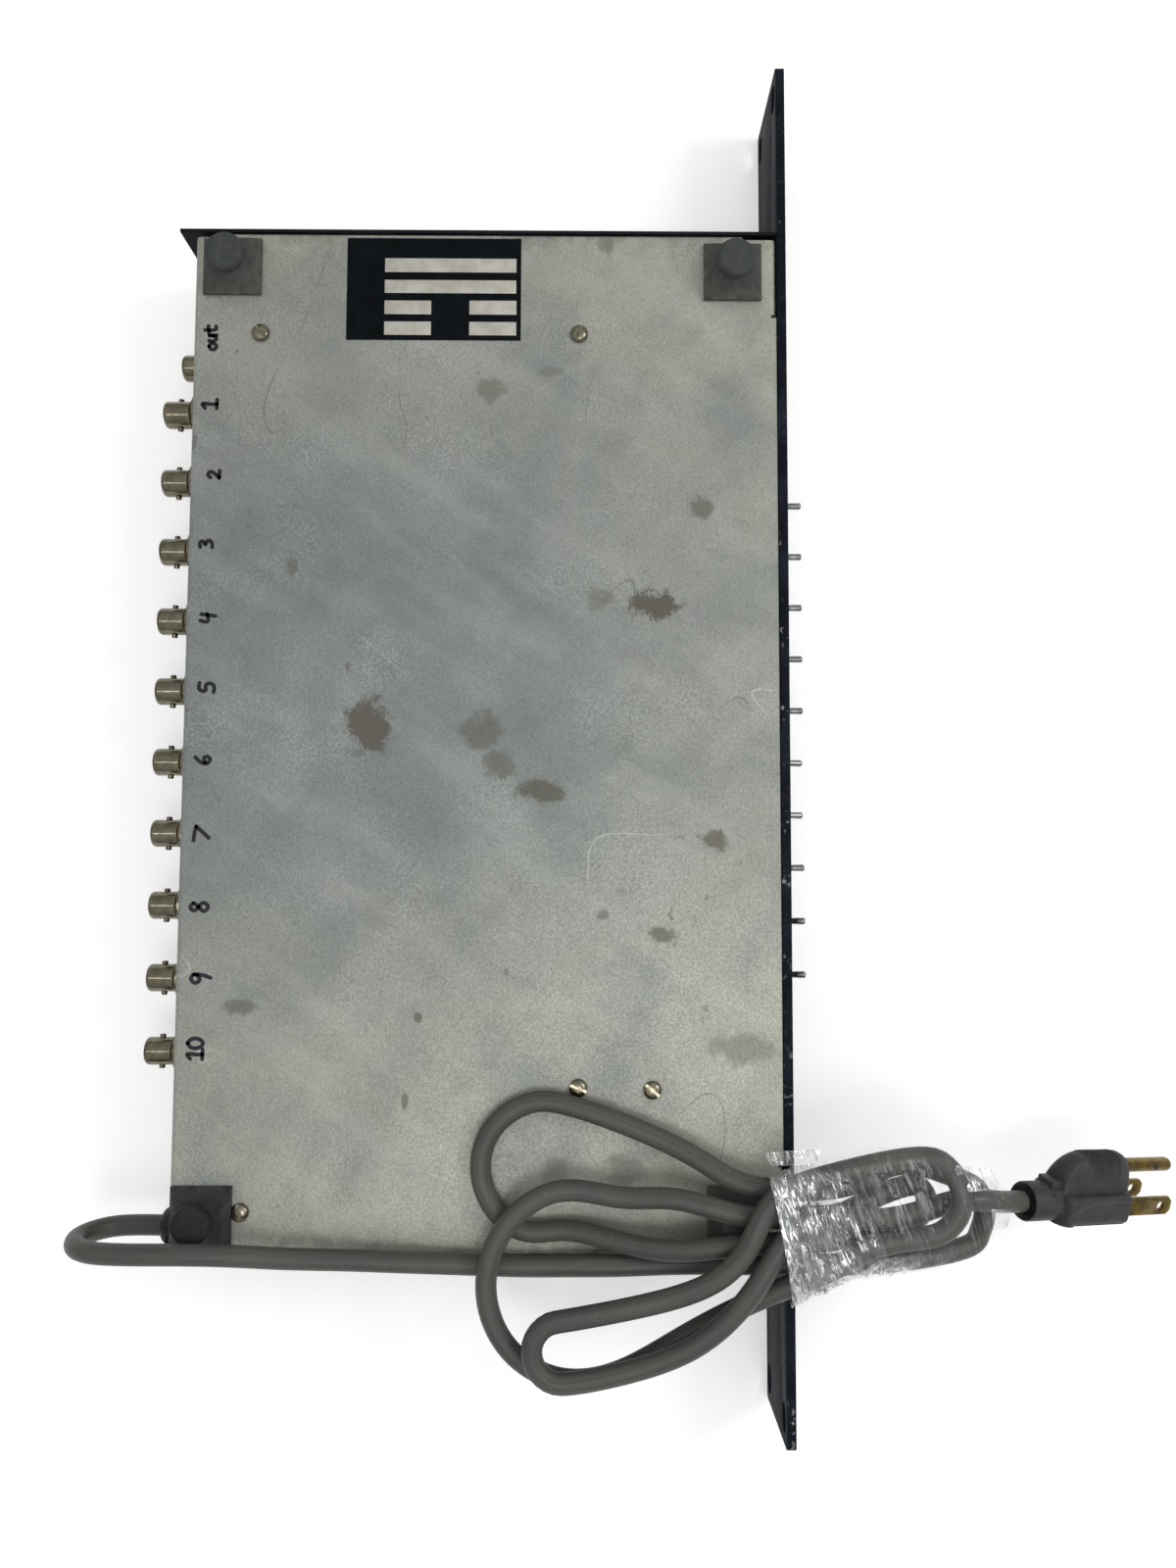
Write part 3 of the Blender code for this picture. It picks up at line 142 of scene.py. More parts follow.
def add_node(tree: Tree, kind: str, inputs: dict, **settings: object) -> bpy.types.Node:
    """Add a node to a tree, set it up and link it.

    Args:
        tree: The shader or geometry tree.
        kind: The node's type.
        inputs: What goes into its inputs, by name or index: a value, or a socket to link from.
        settings: The node's own properties.

    Returns:
        The new node.
    """
    node = tree.nodes.new(kind)
    for name, value in settings.items():
        setattr(node, name, value)
    for key, value in inputs.items():
        if isinstance(value, Socket):
            tree.links.new(value, node.inputs[key])
        else:
            node.inputs[key].default_value = value
    return node


class Surface:
    """A material's nodes while a finish fills them in."""

    def __init__(self, material: bpy.types.Material) -> None:
        """Take the material's tree and its object coordinates.

        Args:
            material: The material, with its nodes in use.
        """
        self.tree = material.node_tree
        self.shader = self.tree.nodes["Principled BSDF"]
        self.place = self.add("ShaderNodeTexCoord", {}).outputs["Object"]

    def add(self, kind: str, inputs: dict, **settings: object) -> bpy.types.Node:
        """Add a node to this material."""
        return add_node(self.tree, kind, inputs, **settings)

    def speckle(self, size: float, low: float, high: float, detail: float = 3.0,
                vector: Socket | None = None) -> Socket:
        """Return a mask of soft blots.

        Args:
            size: The blots' size in metres.
            low: The noise value where the mask starts.
            high: The noise value where the mask is full.
            detail: How many finer layers the noise has.
            vector: The coordinates, or None for the object's own.

        Returns:
            The mask, from 0 to 1.
        """
        inputs = {"Vector": vector or self.place, "Scale": 1.0 / size, "Detail": detail}
        return self.share(self.add("ShaderNodeTexNoise", inputs).outputs[0], low, high)

    def share(self, value: Socket, low: float, high: float) -> Socket:
        """Return how far a value has gone from low to high, kept between 0 and 1."""
        inputs = {"Value": value, "From Min": low, "From Max": high}
        return self.add("ShaderNodeMapRange", inputs).outputs[0]

    def calc(self, first: Socket, second: Socket | float, operation: str = "MULTIPLY") -> Socket:
        """Return two values joined by an operation."""
        return self.add("ShaderNodeMath", {0: first, 1: second}, operation=operation).outputs[0]

    def blend(self, share: Socket, first: str | Socket, second: str | Socket) -> Socket:
        """Mix two colours, each a hex code or a socket, by a share of the second.

        Args:
            share: The share of the second colour.
            first: The colour at 0.
            second: The colour at 1.

        Returns:
            The mixed colour.
        """
        inputs = {"Factor": share}
        for index, colour in ((6, first), (7, second)):
            inputs[index] = linear(colour) if isinstance(colour, str) else colour
        return self.add("ShaderNodeMix", inputs, data_type="RGBA").outputs[2]

    def turned(self, angle: float, sizes: Vec) -> Socket:
        """Return object coordinates turned about Z, then counted in the given sizes.

        Args:
            angle: The turn in degrees.
            sizes: The length of a unit along each axis, in metres.

        Returns:
            The coordinates.
        """
        turn = self.add("ShaderNodeVectorRotate", {"Vector": self.place, "Angle": math.radians(angle)})
        counts = tuple(1.0 / size for size in sizes)
        scaled = self.add("ShaderNodeVectorMath", {0: turn.outputs[0], 1: counts}, operation="MULTIPLY")
        return scaled.outputs[0]

    def paint(self, **sockets: Socket) -> None:
        """Link values to the shader's inputs, whose names have underscores for spaces."""
        for name, socket in sockets.items():
            self.tree.links.new(socket, self.shader.inputs[name.replace("_", " ").title()])

    def emboss(self, height: Socket, depth: float) -> None:
        """Raise the surface by a height map of the given depth in metres."""
        bump = self.add("ShaderNodeBump", {"Height": height, "Distance": depth, "Strength": 1.0})
        self.paint(normal=bump.outputs[0])


@dataclass(frozen=True)
class Finish:
    """A procedural finish: its base values, and what varies in dress()."""

    name: str
    slot: Slot
    colour: str
    roughness: float
    metallic: float = 0.0
    gloss: float = 0.3

    def material(self) -> bpy.types.Material:
        """Make this finish's material when it is first asked for.

        Returns:
            The material.
        """
        made = bpy.data.materials.get(self.name)
        if made is not None:
            return made
        material = bpy.data.materials.new(self.name)
        material.use_nodes = True
        surface = Surface(material)
        values = {"Base Color": linear(self.colour), "Roughness": self.roughness, "Metallic": self.metallic,
                  "Specular IOR Level": self.gloss}
        for name, value in values.items():
            surface.shader.inputs[name].default_value = value
        self.dress(surface)
        return material

    def dress(self, surface: Surface) -> None:
        """Add what varies over the surface."""


@dataclass(frozen=True)
class Mottled(Finish):
    """A surface of two tones in blots, with a fine grain in its gloss and relief."""

    second: str = "#808080"
    blot: float = 0.008
    grain: float = 0.0006
    relief: float = 0.00004
    spread: float = 0.1

    def dress(self, surface: Surface) -> None:
        """Blend the tones and roughen the surface by the grain."""
        self.roughen(surface, self.tones(surface))

    def tones(self, surface: Surface) -> Socket:
        """Return the two tones in blots."""
        return surface.blend(surface.speckle(self.blot, 0.36, 0.64), self.colour, self.second)

    def fine(self, surface: Surface) -> Socket:
        """Return the grain."""
        return surface.speckle(self.grain, 0.25, 0.75, 2.0)

    def roughen(self, surface: Surface, tone: Socket) -> None:
        """Paint a tone, and vary the gloss and the relief by the grain.

        Args:
            surface: The material's nodes.
            tone: The colour.
        """
        grain = self.fine(surface)
        low, high = self.roughness - self.spread, self.roughness + self.spread
        dull = surface.add("ShaderNodeMapRange", {"Value": grain, "To Min": low, "To Max": high})
        surface.paint(base_color=tone, roughness=dull.outputs[0])
        surface.emboss(grain, self.relief)


@dataclass(frozen=True)
class Stain:
    """A dried spot on the pan: its centre, its size along X and Y, and its strength."""

    place: Flat
    size: Flat
    strength: float = 1.0


@dataclass(frozen=True)
class PlatedSteel(Mottled):
    """Dull zinc plating, scuffed, spotted and stained, with painted reflection and light: darker and cooler
    in the middle, lighter and warmer at the ends.
    """

    # The colour of the painted light at the pan's ends
    lit_tone: str = "#afaea2"
    stain: str = "#66635a"
    stains: tuple[Stain, ...] = ()

    def dress(self, surface: Surface) -> None:
        """Lighten and warm the blotched plating towards its ends as painted light, then lay dirt, grain,
        wear, wipes, scratches, specks and stains over it.

        Args:
            surface: The material's nodes.
        """
        tone = surface.blend(surface.speckle(0.040, 0.30, 0.70, 7.0), self.colour, self.second)
        # Painted reflection and light: darker and cooler in the middle of the pan, lighter and warmer
        # towards its ends
        tone = surface.blend(self.rim(surface), tone, self.lit_tone)
        fine = surface.speckle(self.grain, 0.28, 0.72)
        worn = surface.calc(surface.speckle(0.0009, 0.45, 0.75), surface.speckle(0.030, 0.40, 0.66, 4.0))
        specks = surface.calc(surface.speckle(0.0040, 0.67, 0.73, 4.0), surface.speckle(0.035, 0.50, 0.60))
        layers = (
            (surface.speckle(0.012, 0.52, 0.80, 6.0), 0.20, self.stain),
            (fine, 0.34, "#474c4a"),
            (worn, 0.34, "#d4d6ce"),
            (self.wipes(surface, -57.0), 0.13, "#c6c8c0"),
            (self.wipes(surface, 41.0), 0.13, "#646a68"),
            (self.scratches(surface, 31.0), 0.45, "#55564f"),
            (self.scratches(surface, -64.0), 0.35, "#d2d3cb"),
            (specks, 0.60, self.stain),
            (self.edge_dirt(surface), 0.55, "#75705f"),
        )
        for mask, level, colour in layers:
            tone = surface.blend(surface.calc(mask, level), tone, colour)
        marks = self.spots(surface, fine)
        tone = surface.blend(marks, tone, self.stain)
        rough = surface.calc(surface.calc(fine, 0.14), surface.calc(marks, 0.22), "ADD")
        dull = surface.calc(rough, self.roughness - 0.07, "ADD")
        surface.paint(base_color=tone, roughness=dull)
        surface.emboss(fine, self.relief)

    @staticmethod
    def far(surface: Surface, counts: Vec, centre: Vec) -> Socket:
        """Return the distance from a centre, both in the counts that each axis is multiplied by.

        Args:
            surface: The material's nodes.
            counts: What each axis is multiplied by.
            centre: The centre, in those counts.

        Returns:
            The distance.
        """
        kind = "ShaderNodeVectorMath"
        scaled = surface.add(kind, {0: surface.place, 1: counts}, operation="MULTIPLY").outputs[0]
        return surface.add(kind, {0: scaled, 1: centre}, operation="DISTANCE").outputs["Value"]

    def rim(self, surface: Surface) -> Socket:
        """Return how far a place is from the pan's middle, broken up by blots: the mask of the painted light
        and reflection that lightens and warms the pan's ends.
        """
        away = surface.share(self.far(surface, (5.6, 4.0, 0.0), (0.11, 0.24, 0.0)), 0.30, 0.95)
        return surface.calc(away, surface.speckle(0.035, 0.22, 0.52, 4.0))

    @staticmethod
    def edge_dirt(surface: Surface) -> Socket:
        """Make the ragged dirt along the pan's short edges.

        Args:
            surface: The material's nodes.

        Returns:
            The mask, from 0 to 1.
        """
        along = surface.add("ShaderNodeSeparateXYZ", {0: surface.place}).outputs["X"]
        away = surface.calc(along, 0.0, "ABSOLUTE")
        return surface.calc(surface.share(away, 0.168, 0.180), surface.speckle(0.006, 0.48, 0.62, 4.0))

    @staticmethod
    def wipes(surface: Surface, angle: float) -> Socket:
        """Return long soft wipes turned by an angle in degrees."""
        return surface.speckle(1.0, 0.50, 0.72, 4.0, surface.turned(angle, (0.050, 0.011, 0.060)))

    @staticmethod
    def scratches(surface: Surface, angle: float) -> Socket:
        """Make thin bent scratches, the level lines of a broad noise.

        Args:
            surface: The material's nodes.
            angle: How far the noise is turned, in degrees.

        Returns:
            The mask, from 0 to 1.
        """
        wander = surface.add("ShaderNodeTexNoise", {
            "Vector": surface.turned(angle, (0.170, 0.040, 0.060)), "Scale": 1.0, "Detail": 0.5})
        level = {0: wander.outputs[0], 1: 0.5, 2: 0.0011}
        lines = surface.add("ShaderNodeMath", level, operation="COMPARE").outputs[0]
        return surface.calc(lines, surface.speckle(0.030, 0.50, 0.60))

    def spots(self, surface: Surface, fine: Socket) -> Socket:
        """Return the mask of the stains, each with a ragged edge that breaks up into grains.

        Args:
            surface: The material's nodes.
            fine: The plating's grain.

        Returns:
            The mask, from 0 to 1.
        """
        shape = surface.add("ShaderNodeTexNoise", {
            "Vector": surface.place, "Scale": 1.0 / 0.005, "Detail": 8.0, "Roughness": 0.62})
        ragged = surface.calc(surface.calc(shape.outputs[0], 1.9), surface.calc(fine, 0.5), "ADD")
        total = surface.calc(fine, 0.0)
        for stain in self.stains:
            counts = (2.0 / stain.size[0], 2.0 / stain.size[1], 0.0)
            centre = (stain.place[0] * counts[0], stain.place[1] * counts[1], 0.0)
            edge = surface.calc(self.far(surface, counts, centre), ragged, "ADD")
            inside = surface.calc(surface.share(edge, 2.16, 1.84), stain.strength)
            total = surface.calc(total, inside, "MAXIMUM")
        return total


@dataclass(frozen=True)
class WornEnamel(Mottled):
    """Black enamel with a faint texture, dusty, and chipped to bright metal along its edges."""

    chip: str = "#8f9290"
    edge: float = 0.0214

    def dress(self, surface: Surface) -> None:
        """Dust the enamel and chip it where the panel's long edges are.

        Args:
            surface: The material's nodes.
        """
        dust = surface.calc(surface.speckle(0.0016, 0.60, 0.72), 0.22)
        tone = surface.blend(dust, self.tones(surface), "#51565c")
        height = surface.add("ShaderNodeSeparateXYZ", {0: surface.place}).outputs["Z"]
        away = surface.calc(surface.calc(height, PANEL_MIDDLE_Z, "SUBTRACT"), 0.0, "ABSOLUTE")
        rim = surface.share(away, self.edge, self.edge + 0.0003)
        bare = surface.calc(surface.speckle(0.0020, 0.58, 0.66, 4.0), surface.speckle(0.022, 0.56, 0.62))
        chips = surface.calc(surface.calc(rim, bare), 0.8)
        self.roughen(surface, surface.blend(chips, tone, self.chip))


@dataclass(frozen=True)
class DustyRubber(Mottled):
    """Rubber that carries dust towards its foot."""

    dust: str = "#5a594e"

    def dress(self, surface: Surface) -> None:
        """Lay dust on the plain rubber, more of it low down.

        Args:
            surface: The material's nodes.
        """
        height = surface.add("ShaderNodeSeparateXYZ", {0: surface.place}).outputs["Z"]
        low = surface.share(height, PAN_Z + 0.0100, PAN_Z + 0.0020)
        dust = surface.calc(low, surface.speckle(0.003, 0.25, 0.65, 4.0))
        grain = self.fine(surface)
        dull = surface.calc(surface.calc(grain, self.spread), self.roughness, "ADD")
        surface.paint(base_color=surface.blend(dust, self.tones(surface), self.dust), roughness=dull)
        surface.emboss(grain, self.relief)


@dataclass(frozen=True)
class CordVinyl(Mottled):
    """Extruded grey vinyl: fine lines along the cord, handling marks and a soft gloss."""

    line: Flat = (0.05, 0.0009)

    def dress(self, surface: Surface) -> None:
        """Draw the lines by the cord's own coordinates, which run along it and round it.

        Args:
            surface: The material's nodes.
        """
        chart = surface.add("ShaderNodeUVMap", {}, uv_map="along").outputs[0]
        counts = (1 / self.line[0], 1 / self.line[1], 0.0)
        lengths = surface.add("ShaderNodeVectorMath", {0: chart, 1: counts}, operation="MULTIPLY")
        lines = surface.speckle(1.0, 0.35, 0.65, 2.0, lengths.outputs[0])
        tone = surface.blend(surface.calc(lines, 0.22), self.tones(surface), "#6a6a64")
        dusty = surface.calc(surface.speckle(0.0018, 0.60, 0.74), 0.10)
        dull = surface.calc(surface.calc(lines, 0.10), self.roughness - 0.05, "ADD")
        surface.paint(base_color=surface.blend(dusty, tone, "#85857c"), roughness=dull)
        surface.emboss(lines, self.relief)


@dataclass(frozen=True)
class StretchFilm(Finish):
    """Clear stretch film: nearly unseen where it is tight, white where it is crushed or streaked."""

    clear: float = 0.015
    lean: float = 159.0
    relief: float = 0.0005

    def dress(self, surface: Surface) -> None:
        """Whiten the film along its pull, and where the mesh says that it is crushed, its creases shown in
        patches of painted glints.

        Args:
            surface: The material's nodes.
        """
        crush = surface.add("ShaderNodeAttribute", {}, attribute_name="crush").outputs["Fac"]
        thin = surface.turned(self.lean, (0.040, 0.0009, 0.0200))
        wide = surface.turned(self.lean, (0.050, 0.0034, 0.0200))
        fine = surface.speckle(1.0, 0.57, 0.74, 2.0, thin)
        broad = surface.speckle(1.0, 0.48, 0.80, 2.0, wide)
        coarse = self.creases(surface, (0.0180, 0.0026, 0.0120))
        small = self.creases(surface, (0.0090, 0.0014, 0.0060))
        # Painted glints: the creases show only in these random patches, which stand for where they catch the
        # light
        glint_patches = surface.speckle(0.006, 0.38, 0.60)
        folds = surface.calc(surface.calc(coarse, small, "MAXIMUM"), surface.calc(crush, glint_patches))
        streaks = surface.calc(surface.calc(fine, 0.20), surface.calc(broad, 0.05), "ADD")
        haze = surface.calc(surface.calc(crush, 0.28), self.clear, "ADD")
        cover = surface.calc(surface.calc(haze, streaks, "ADD"), folds, "ADD")
        surface.paint(alpha=surface.share(cover, 0.0, 1.0))
        surface.emboss(surface.calc(fine, coarse, "ADD"), self.relief)

    def creases(self, surface: Surface, sizes: Vec) -> Socket:
        """Return broken creases, the level lines of a noise, made opaque as whitened film and as painted
        glints.

        Args:
            surface: The material's nodes.
            sizes: The noise's sizes along the pull, across it and in height.

        Returns:
            The mask, from 0 to 1.
        """
        wander = surface.add("ShaderNodeTexNoise", {
            "Vector": surface.turned(self.lean, sizes), "Scale": 1.0, "Detail": 2.0, "Distortion": 0.8})
        away = surface.calc(wander.outputs[0], 0.5, "SUBTRACT")
        return surface.share(surface.calc(away, 0.0, "ABSOLUTE"), 0.055, 0.012)


# Zinc plating: a dull metal that takes on the tones of what is round it, with stains that cut its gloss, and
# painted reflection and light that darken its middle and lighten its ends.
# Its crystals are too fine to show, so the grain is drawn at 0.8 mm
PLATED = PlatedSteel(
    "plated_steel", Slot.ZINC, "#7f8684", 0.52, 0.45, second="#929795", grain=0.0008, relief=0.00002,
    stains=(
        Stain((0.0439, -0.0609), (0.012, 0.020)), Stain((0.0465, -0.0420), (0.009, 0.013), 0.4),
        Stain((0.0011, 0.0384), (0.023, 0.018), 0.95), Stain((-0.0005, -0.0010), (0.015, 0.016), 0.6),
        Stain((-0.0124, -0.0065), (0.012, 0.013), 0.6), Stain((-0.0219, -0.0215), (0.009, 0.019), 0.85),
        Stain((0.0786, -0.0771), (0.009, 0.011), 0.7), Stain((-0.0382, -0.0811), (0.009, 0.012), 0.75),
        Stain((-0.0709, -0.0635), (0.006, 0.011), 0.65), Stain((0.1207, -0.0026), (0.010, 0.012), 0.55),
        Stain((0.1275, -0.0247), (0.004, 0.009), 0.35), Stain((0.0572, 0.0661), (0.008, 0.005), 0.55),
        Stain((-0.0958, 0.0801), (0.006, 0.012), 0.6), Stain((-0.1086, -0.0914), (0.014, 0.024), 0.4),
        Stain((-0.1501, -0.0500), (0.014, 0.015), 0.45), Stain((-0.1520, -0.0270), (0.014, 0.012), 0.35),
        Stain((0.1743, -0.0434), (0.009, 0.008), 0.5), Stain((-0.0640, -0.0430), (0.004, 0.005), 0.5),
        Stain((-0.0990, 0.0200), (0.0035, 0.003), 0.7), Stain((-0.1274, 0.0240), (0.006, 0.002), 0.6),
    ))
# Enamel on sheet and plate: near black with a blue cast, dusty, its texture breaking up the gloss. The
# texture is drawn at 0.7 mm, coarser than it is, so that it shows
ENAMEL = Mottled(
    "black_enamel", Slot.PAINT, "#101216", 0.55, gloss=0.08, second="#191b1f", blot=0.03, grain=0.0007)
PANEL_ENAMEL = WornEnamel(
    "panel_enamel", Slot.PANEL, "#0e1219", 0.58, gloss=0.05, second="#1a1f27", blot=0.012, grain=0.0007)
# Moulded rubber: no gloss to speak of, greyed by dust, a little darker where it is handled
RUBBER = DustyRubber(
    "bumper_rubber", Slot.RUBBER, "#3c3f40", 0.74, gloss=0.2, second="#454746", blot=0.004, grain=0.0004)
DARK_RUBBER = DustyRubber(
    "dark_rubber", Slot.RUBBER, "#15191a", 0.60, second="#222525", blot=0.006, grain=0.0004, dust="#3d3e3b")
# Nickel on brass and plated screws, tarnished: warm and brownish, with a blurred highlight
NICKEL = Mottled(
    "aged_nickel", Slot.NICKEL, "#7b7666", 0.17, 1.0, second="#676353", blot=0.003, relief=0.0000015,
    spread=0.06)
STEEL = Mottled(
    "screw_plating", Slot.SCREW, "#8b8675", 0.26, 1.0, second="#6d6757", blot=0.002, grain=0.0004,
    relief=0.000004, spread=0.08)
# Bright chrome: takes the room in as sharp bands, dulled only by faint finger marks
CHROME = Mottled(
    "lever_chrome", Slot.CHROME, "#8f9190", 0.12, 1.0, second="#7c7f7f", blot=0.003, grain=0.0005,
    relief=0.000002, spread=0.05)
# Gold on the contacts: a warm spark in the middle of each jack
GOLD = Mottled(
    "contact_gold", Slot.NICKEL, "#b9954a", 0.28, 1.0, second="#a08040", blot=0.002, grain=0.0003,
    relief=0.000004)
# Fluoropolymer insulator: white, waxy and without a sharp highlight
INSULATOR = Mottled(
    "jack_insulator", Slot.NICKEL, "#d8d4c6", 0.45, second="#c6c1b0", blot=0.002, grain=0.0003,
    relief=0.000005)
# Tinted diffusing lens of a lamp that is off: deep red and glossy
LENS = Mottled(
    "lamp_lens", Slot.LENS, "#8e1a16", 0.18, gloss=0.5, second="#7a1411", blot=0.002, grain=0.0003,
    relief=0.000004, spread=0.04)
# Laminate and switch mouldings: evenly coloured resin with the cloth's faint weave in its gloss
BOARD = Mottled("glass_laminate", Slot.BOARD, "#2c5a3a", 0.42, second="#264f33", blot=0.004, grain=0.0005)
CASE = Mottled("switch_case", Slot.BOARD, "#23344e", 0.40, second="#1c2c44", blot=0.004, grain=0.0004)
# Varnished steel sheets and yellowed tape: the one dark and half glossy, the other dull
CORE = Mottled(
    "core_lamination", Slot.CORE, "#57554f", 0.5, 0.6, second="#46443f", blot=0.006, grain=0.0005)
WINDING = Mottled("winding_tape", Slot.WINDING, "#b39a52", 0.5, second="#a0883f", blot=0.003, grain=0.0004)
# Black nylon: moulded matt, slightly greyed on its edges
NYLON = Mottled("relief_nylon", Slot.NYLON, "#1a1b1c", 0.48, second="#242525", blot=0.003, grain=0.0004)
# Grey vinyl: drawn lines along the cord and a moulding's fine pebble on the plug, both with a soft gloss.
# The lines are too fine to show, so they are drawn 0.9 mm wide
VINYL = CordVinyl("cord_vinyl", Slot.VINYL, "#434240", 0.44, second="#4c4b47", blot=0.03)
MOULDED = Mottled(
    "plug_vinyl", Slot.VINYL, "#343534", 0.5, gloss=0.25, second="#3f3f3d", blot=0.006, grain=0.0004,
    relief=0.00003)
# Brass blades: browned, worn brighter where they slide into an outlet
BRASS = Mottled(
    "aged_brass", Slot.BRASS, "#7f6a36", 0.34, 1.0, second="#5d5134", blot=0.004, grain=0.0004,
    relief=0.00001)
# Stretch film: it whitens only where it is creased, and is seen by its glints, partly real reflection and
# partly painted: its creases show in random patches that stand for where they catch the light
FILM = StretchFilm("stretch_film", Slot.FILM, "#f4f6f7", 0.20, 1.0)
# Marker ink: black with a slight violet sheen, thin over the plating
INK = Mottled(
    "marker_ink", Slot.PAINT, "#131219", 0.42, second="#1f1e28", blot=0.0012, grain=0.0003, relief=0.000005)
# Foil plate: printed black with blank fields of bare, aged metal
FOIL = Mottled(
    "foil_black", Slot.PAINT, "#05090c", 0.4, gloss=0.06, second="#0b1013", blot=0.006, grain=0.0005,
    relief=0.00001)
FIELD = Mottled(
    "foil_field", Slot.ZINC, "#bdbbb1", 0.42, 0.2, second="#aaa79c", blot=0.005, grain=0.0005,
    relief=0.00001)


def once_round(count: int) -> np.ndarray:
    """Return even angles once round, the first at 0."""
    return np.linspace(0.0, 2 * math.pi, count, endpoint=False)


def clamped(value: float) -> float:
    """Return a value kept between 0 and 1."""
    return min(1.0, max(0.0, value))


def dome(radius: float, height: float, count: int, start: float = 0.0, end: float = DOME_END) -> list[Flat]:
    """Return a ball's profile between two angles in radians from its equator, at the equator's height."""
    angles = np.linspace(start, end, count)
    return [(radius * math.cos(a), height + radius * math.sin(a)) for a in angles]


def ring(radius: float, height: float, sides: int, flats: float = 0.0) -> list[Vec]:
    """Return a ring about Z, cut off by a hexagon where it has one.

    Args:
        radius: The ring's radius.
        height: Its height.
        sides: How many points it has.
        flats: The hexagon's size across its flats, or 0 for none.

    Returns:
        The ring's points, counter-clockwise.
    """
    points = []
    for angle in once_round(sides):
        reach = radius
        if flats:
            reach = min(radius, flats / 2 / math.cos(angle % (math.pi / 3) - math.pi / 6))
        points.append((reach * math.cos(angle), reach * math.sin(angle), height))
    return points


def web(bm: Shape, rows: list[list[Vert]], around: bool = True) -> None:
    """Add faces between rows of equal count.

    Args:
        bm: The bmesh that grows.
        rows: The rows.
        around: Whether each row closes on itself.
    """
    for low, high in zip(rows, rows[1:]):
        for i in range(len(low) if around else len(low) - 1):
            j = (i + 1) % len(low)
            bm.faces.new((low[i], low[j], high[j], high[i]))


def skin(rings: list[list[Vec]], closed: bool = False) -> Shape:
    """Skin rings of equal count.

    Args:
        rings: The rings, each counter-clockwise as seen from the last one.
        closed: Whether the last ring joins the first, instead of both being capped.

    Returns:
        The skin as a bmesh.
    """
    bm = bmesh.new()
    rows = [[bm.verts.new(point) for point in points] for points in rings]
    web(bm, rows + rows[:1] if closed else rows)
    if not closed:
        bm.faces.new(list(reversed(rows[0])))
        bm.faces.new(rows[-1])
    return bm


def lathe(profile: list[tuple], sides: int, closed: bool = False) -> Shape:
    """Turn a profile of (radius, height) or (radius, height, hexagon) about Z."""
    return skin([ring(entry[0], entry[1], sides, *entry[2:]) for entry in profile], closed)


def join(target: Shape, source: Shape, place: Matrix | None = None) -> None:
    """Copy a bmesh into another, and free it.

    Args:
        target: The bmesh that grows.
        source: The bmesh that is used up.
        place: Where the source goes, or None for where it is.
    """
    mesh = bpy.data.meshes.new("joined")
    if place is not None:
        source.transform(place)
    source.to_mesh(mesh)
    source.free()
    target.from_mesh(mesh)
    bpy.data.meshes.remove(mesh)


def soften(bm: Shape, width: float, segments: int = 2, limit: float = 35.0) -> None:
    """Round every edge where two faces meet at more than an angle.

    Args:
        bm: The bmesh that changes.
        width: The width of the rounding.
        segments: How many faces round it.
        limit: The least angle, in degrees.
    """
    bm.normal_update()
    sharp = math.radians(limit)
    edges = [edge for edge in bm.edges if edge.is_manifold and edge.calc_face_angle() > sharp]
    bmesh.ops.bevel(
        bm, geom=edges, offset=width, segments=segments, affect="EDGES", profile=0.5, clamp_overlap=True)


def block(low: Vec, high: Vec, edge: float) -> Shape:
    """Make a block between two corners with rounded edges.

    Args:
        low: The corner with the least X, Y and Z.
        high: The opposite corner.
        edge: The width of the rounding.

    Returns:
        The block as a bmesh.
    """
    bm = bmesh.new()
    size = [b - a for a, b in zip(low, high)]
    middle = [(a + b) / 2 for a, b in zip(low, high)]
    place = Matrix.Translation(middle) @ Matrix.Diagonal((*size, 1.0))
    bmesh.ops.create_cube(bm, size=1.0, matrix=place)
    soften(bm, edge)
    return bm


def to_mesh(name: str, bm: Shape, crease: float = CREASE) -> bpy.types.Mesh:
    """Turn a bmesh into a smooth mesh with sharp edges.

    Args:
        name: The mesh's name.
        bm: The bmesh, which is freed.
        crease: The angle in degrees over which an edge stays sharp.

    Returns:
        The mesh.
    """
    mesh = bpy.data.meshes.new(name)
    bm.to_mesh(mesh)
    bm.free()
    mesh.shade_smooth()
    mesh.set_sharp_from_angle(angle=math.radians(crease))
    return mesh


def enlist(name: str, shape: Shape | bpy.types.Mesh, finish: Finish, body: str = Body.UNIT.value,
           crease: float = CREASE) -> Piece:
    """Make a bmesh or a mesh a piece that rides on a body.

    Args:
        name: The piece's name.
        shape: Its bmesh, which is used up, or its mesh, in place.
        finish: Its finish.
        body: The body that it rides on.
        crease: The angle in degrees over which a bmesh's edges stay sharp.

    Returns:
        The piece.
    """
    mesh = to_mesh(name, shape, crease) if isinstance(shape, Shape) else shape
    mesh.materials.clear()
    mesh.materials.append(finish.material())
    LOG.info("%s: %d faces of %s on %s", name, len(mesh.polygons), finish.name, body)
    piece = bpy.data.objects.new(name, mesh)
    bpy.context.scene.collection.objects.link(piece)
    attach(piece, body)
    return piece


def facing(towards: float, place: Vec = (0.0, 0.0, 0.0)) -> Matrix:
    """Return a place whose own Z points along +Y or -Y."""
    return Matrix.Translation(place) @ Matrix.Rotation(-towards * math.pi / 2, 4, "X")


def merged_copy(node: Piece, name: str, finish: Finish, edge: float = 0.0) -> None:
    """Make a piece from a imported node, its seams merged and its edges rounded, in the node's place.

    Args:
        node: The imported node's object.
        name: The piece's name.
        finish: Its finish.
        edge: The width of the rounding, or 0 for none.
    """
    bm = bmesh.new()
    bm.from_mesh(node.data)
    bmesh.ops.remove_doubles(bm, verts=bm.verts, dist=1e-6)
    bmesh.ops.dissolve_limit(bm, angle_limit=math.radians(0.5), verts=bm.verts, edges=bm.edges)
    if edge:
        soften(bm, edge)
    piece = enlist(name, bm, finish)
    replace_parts(piece, node.name)


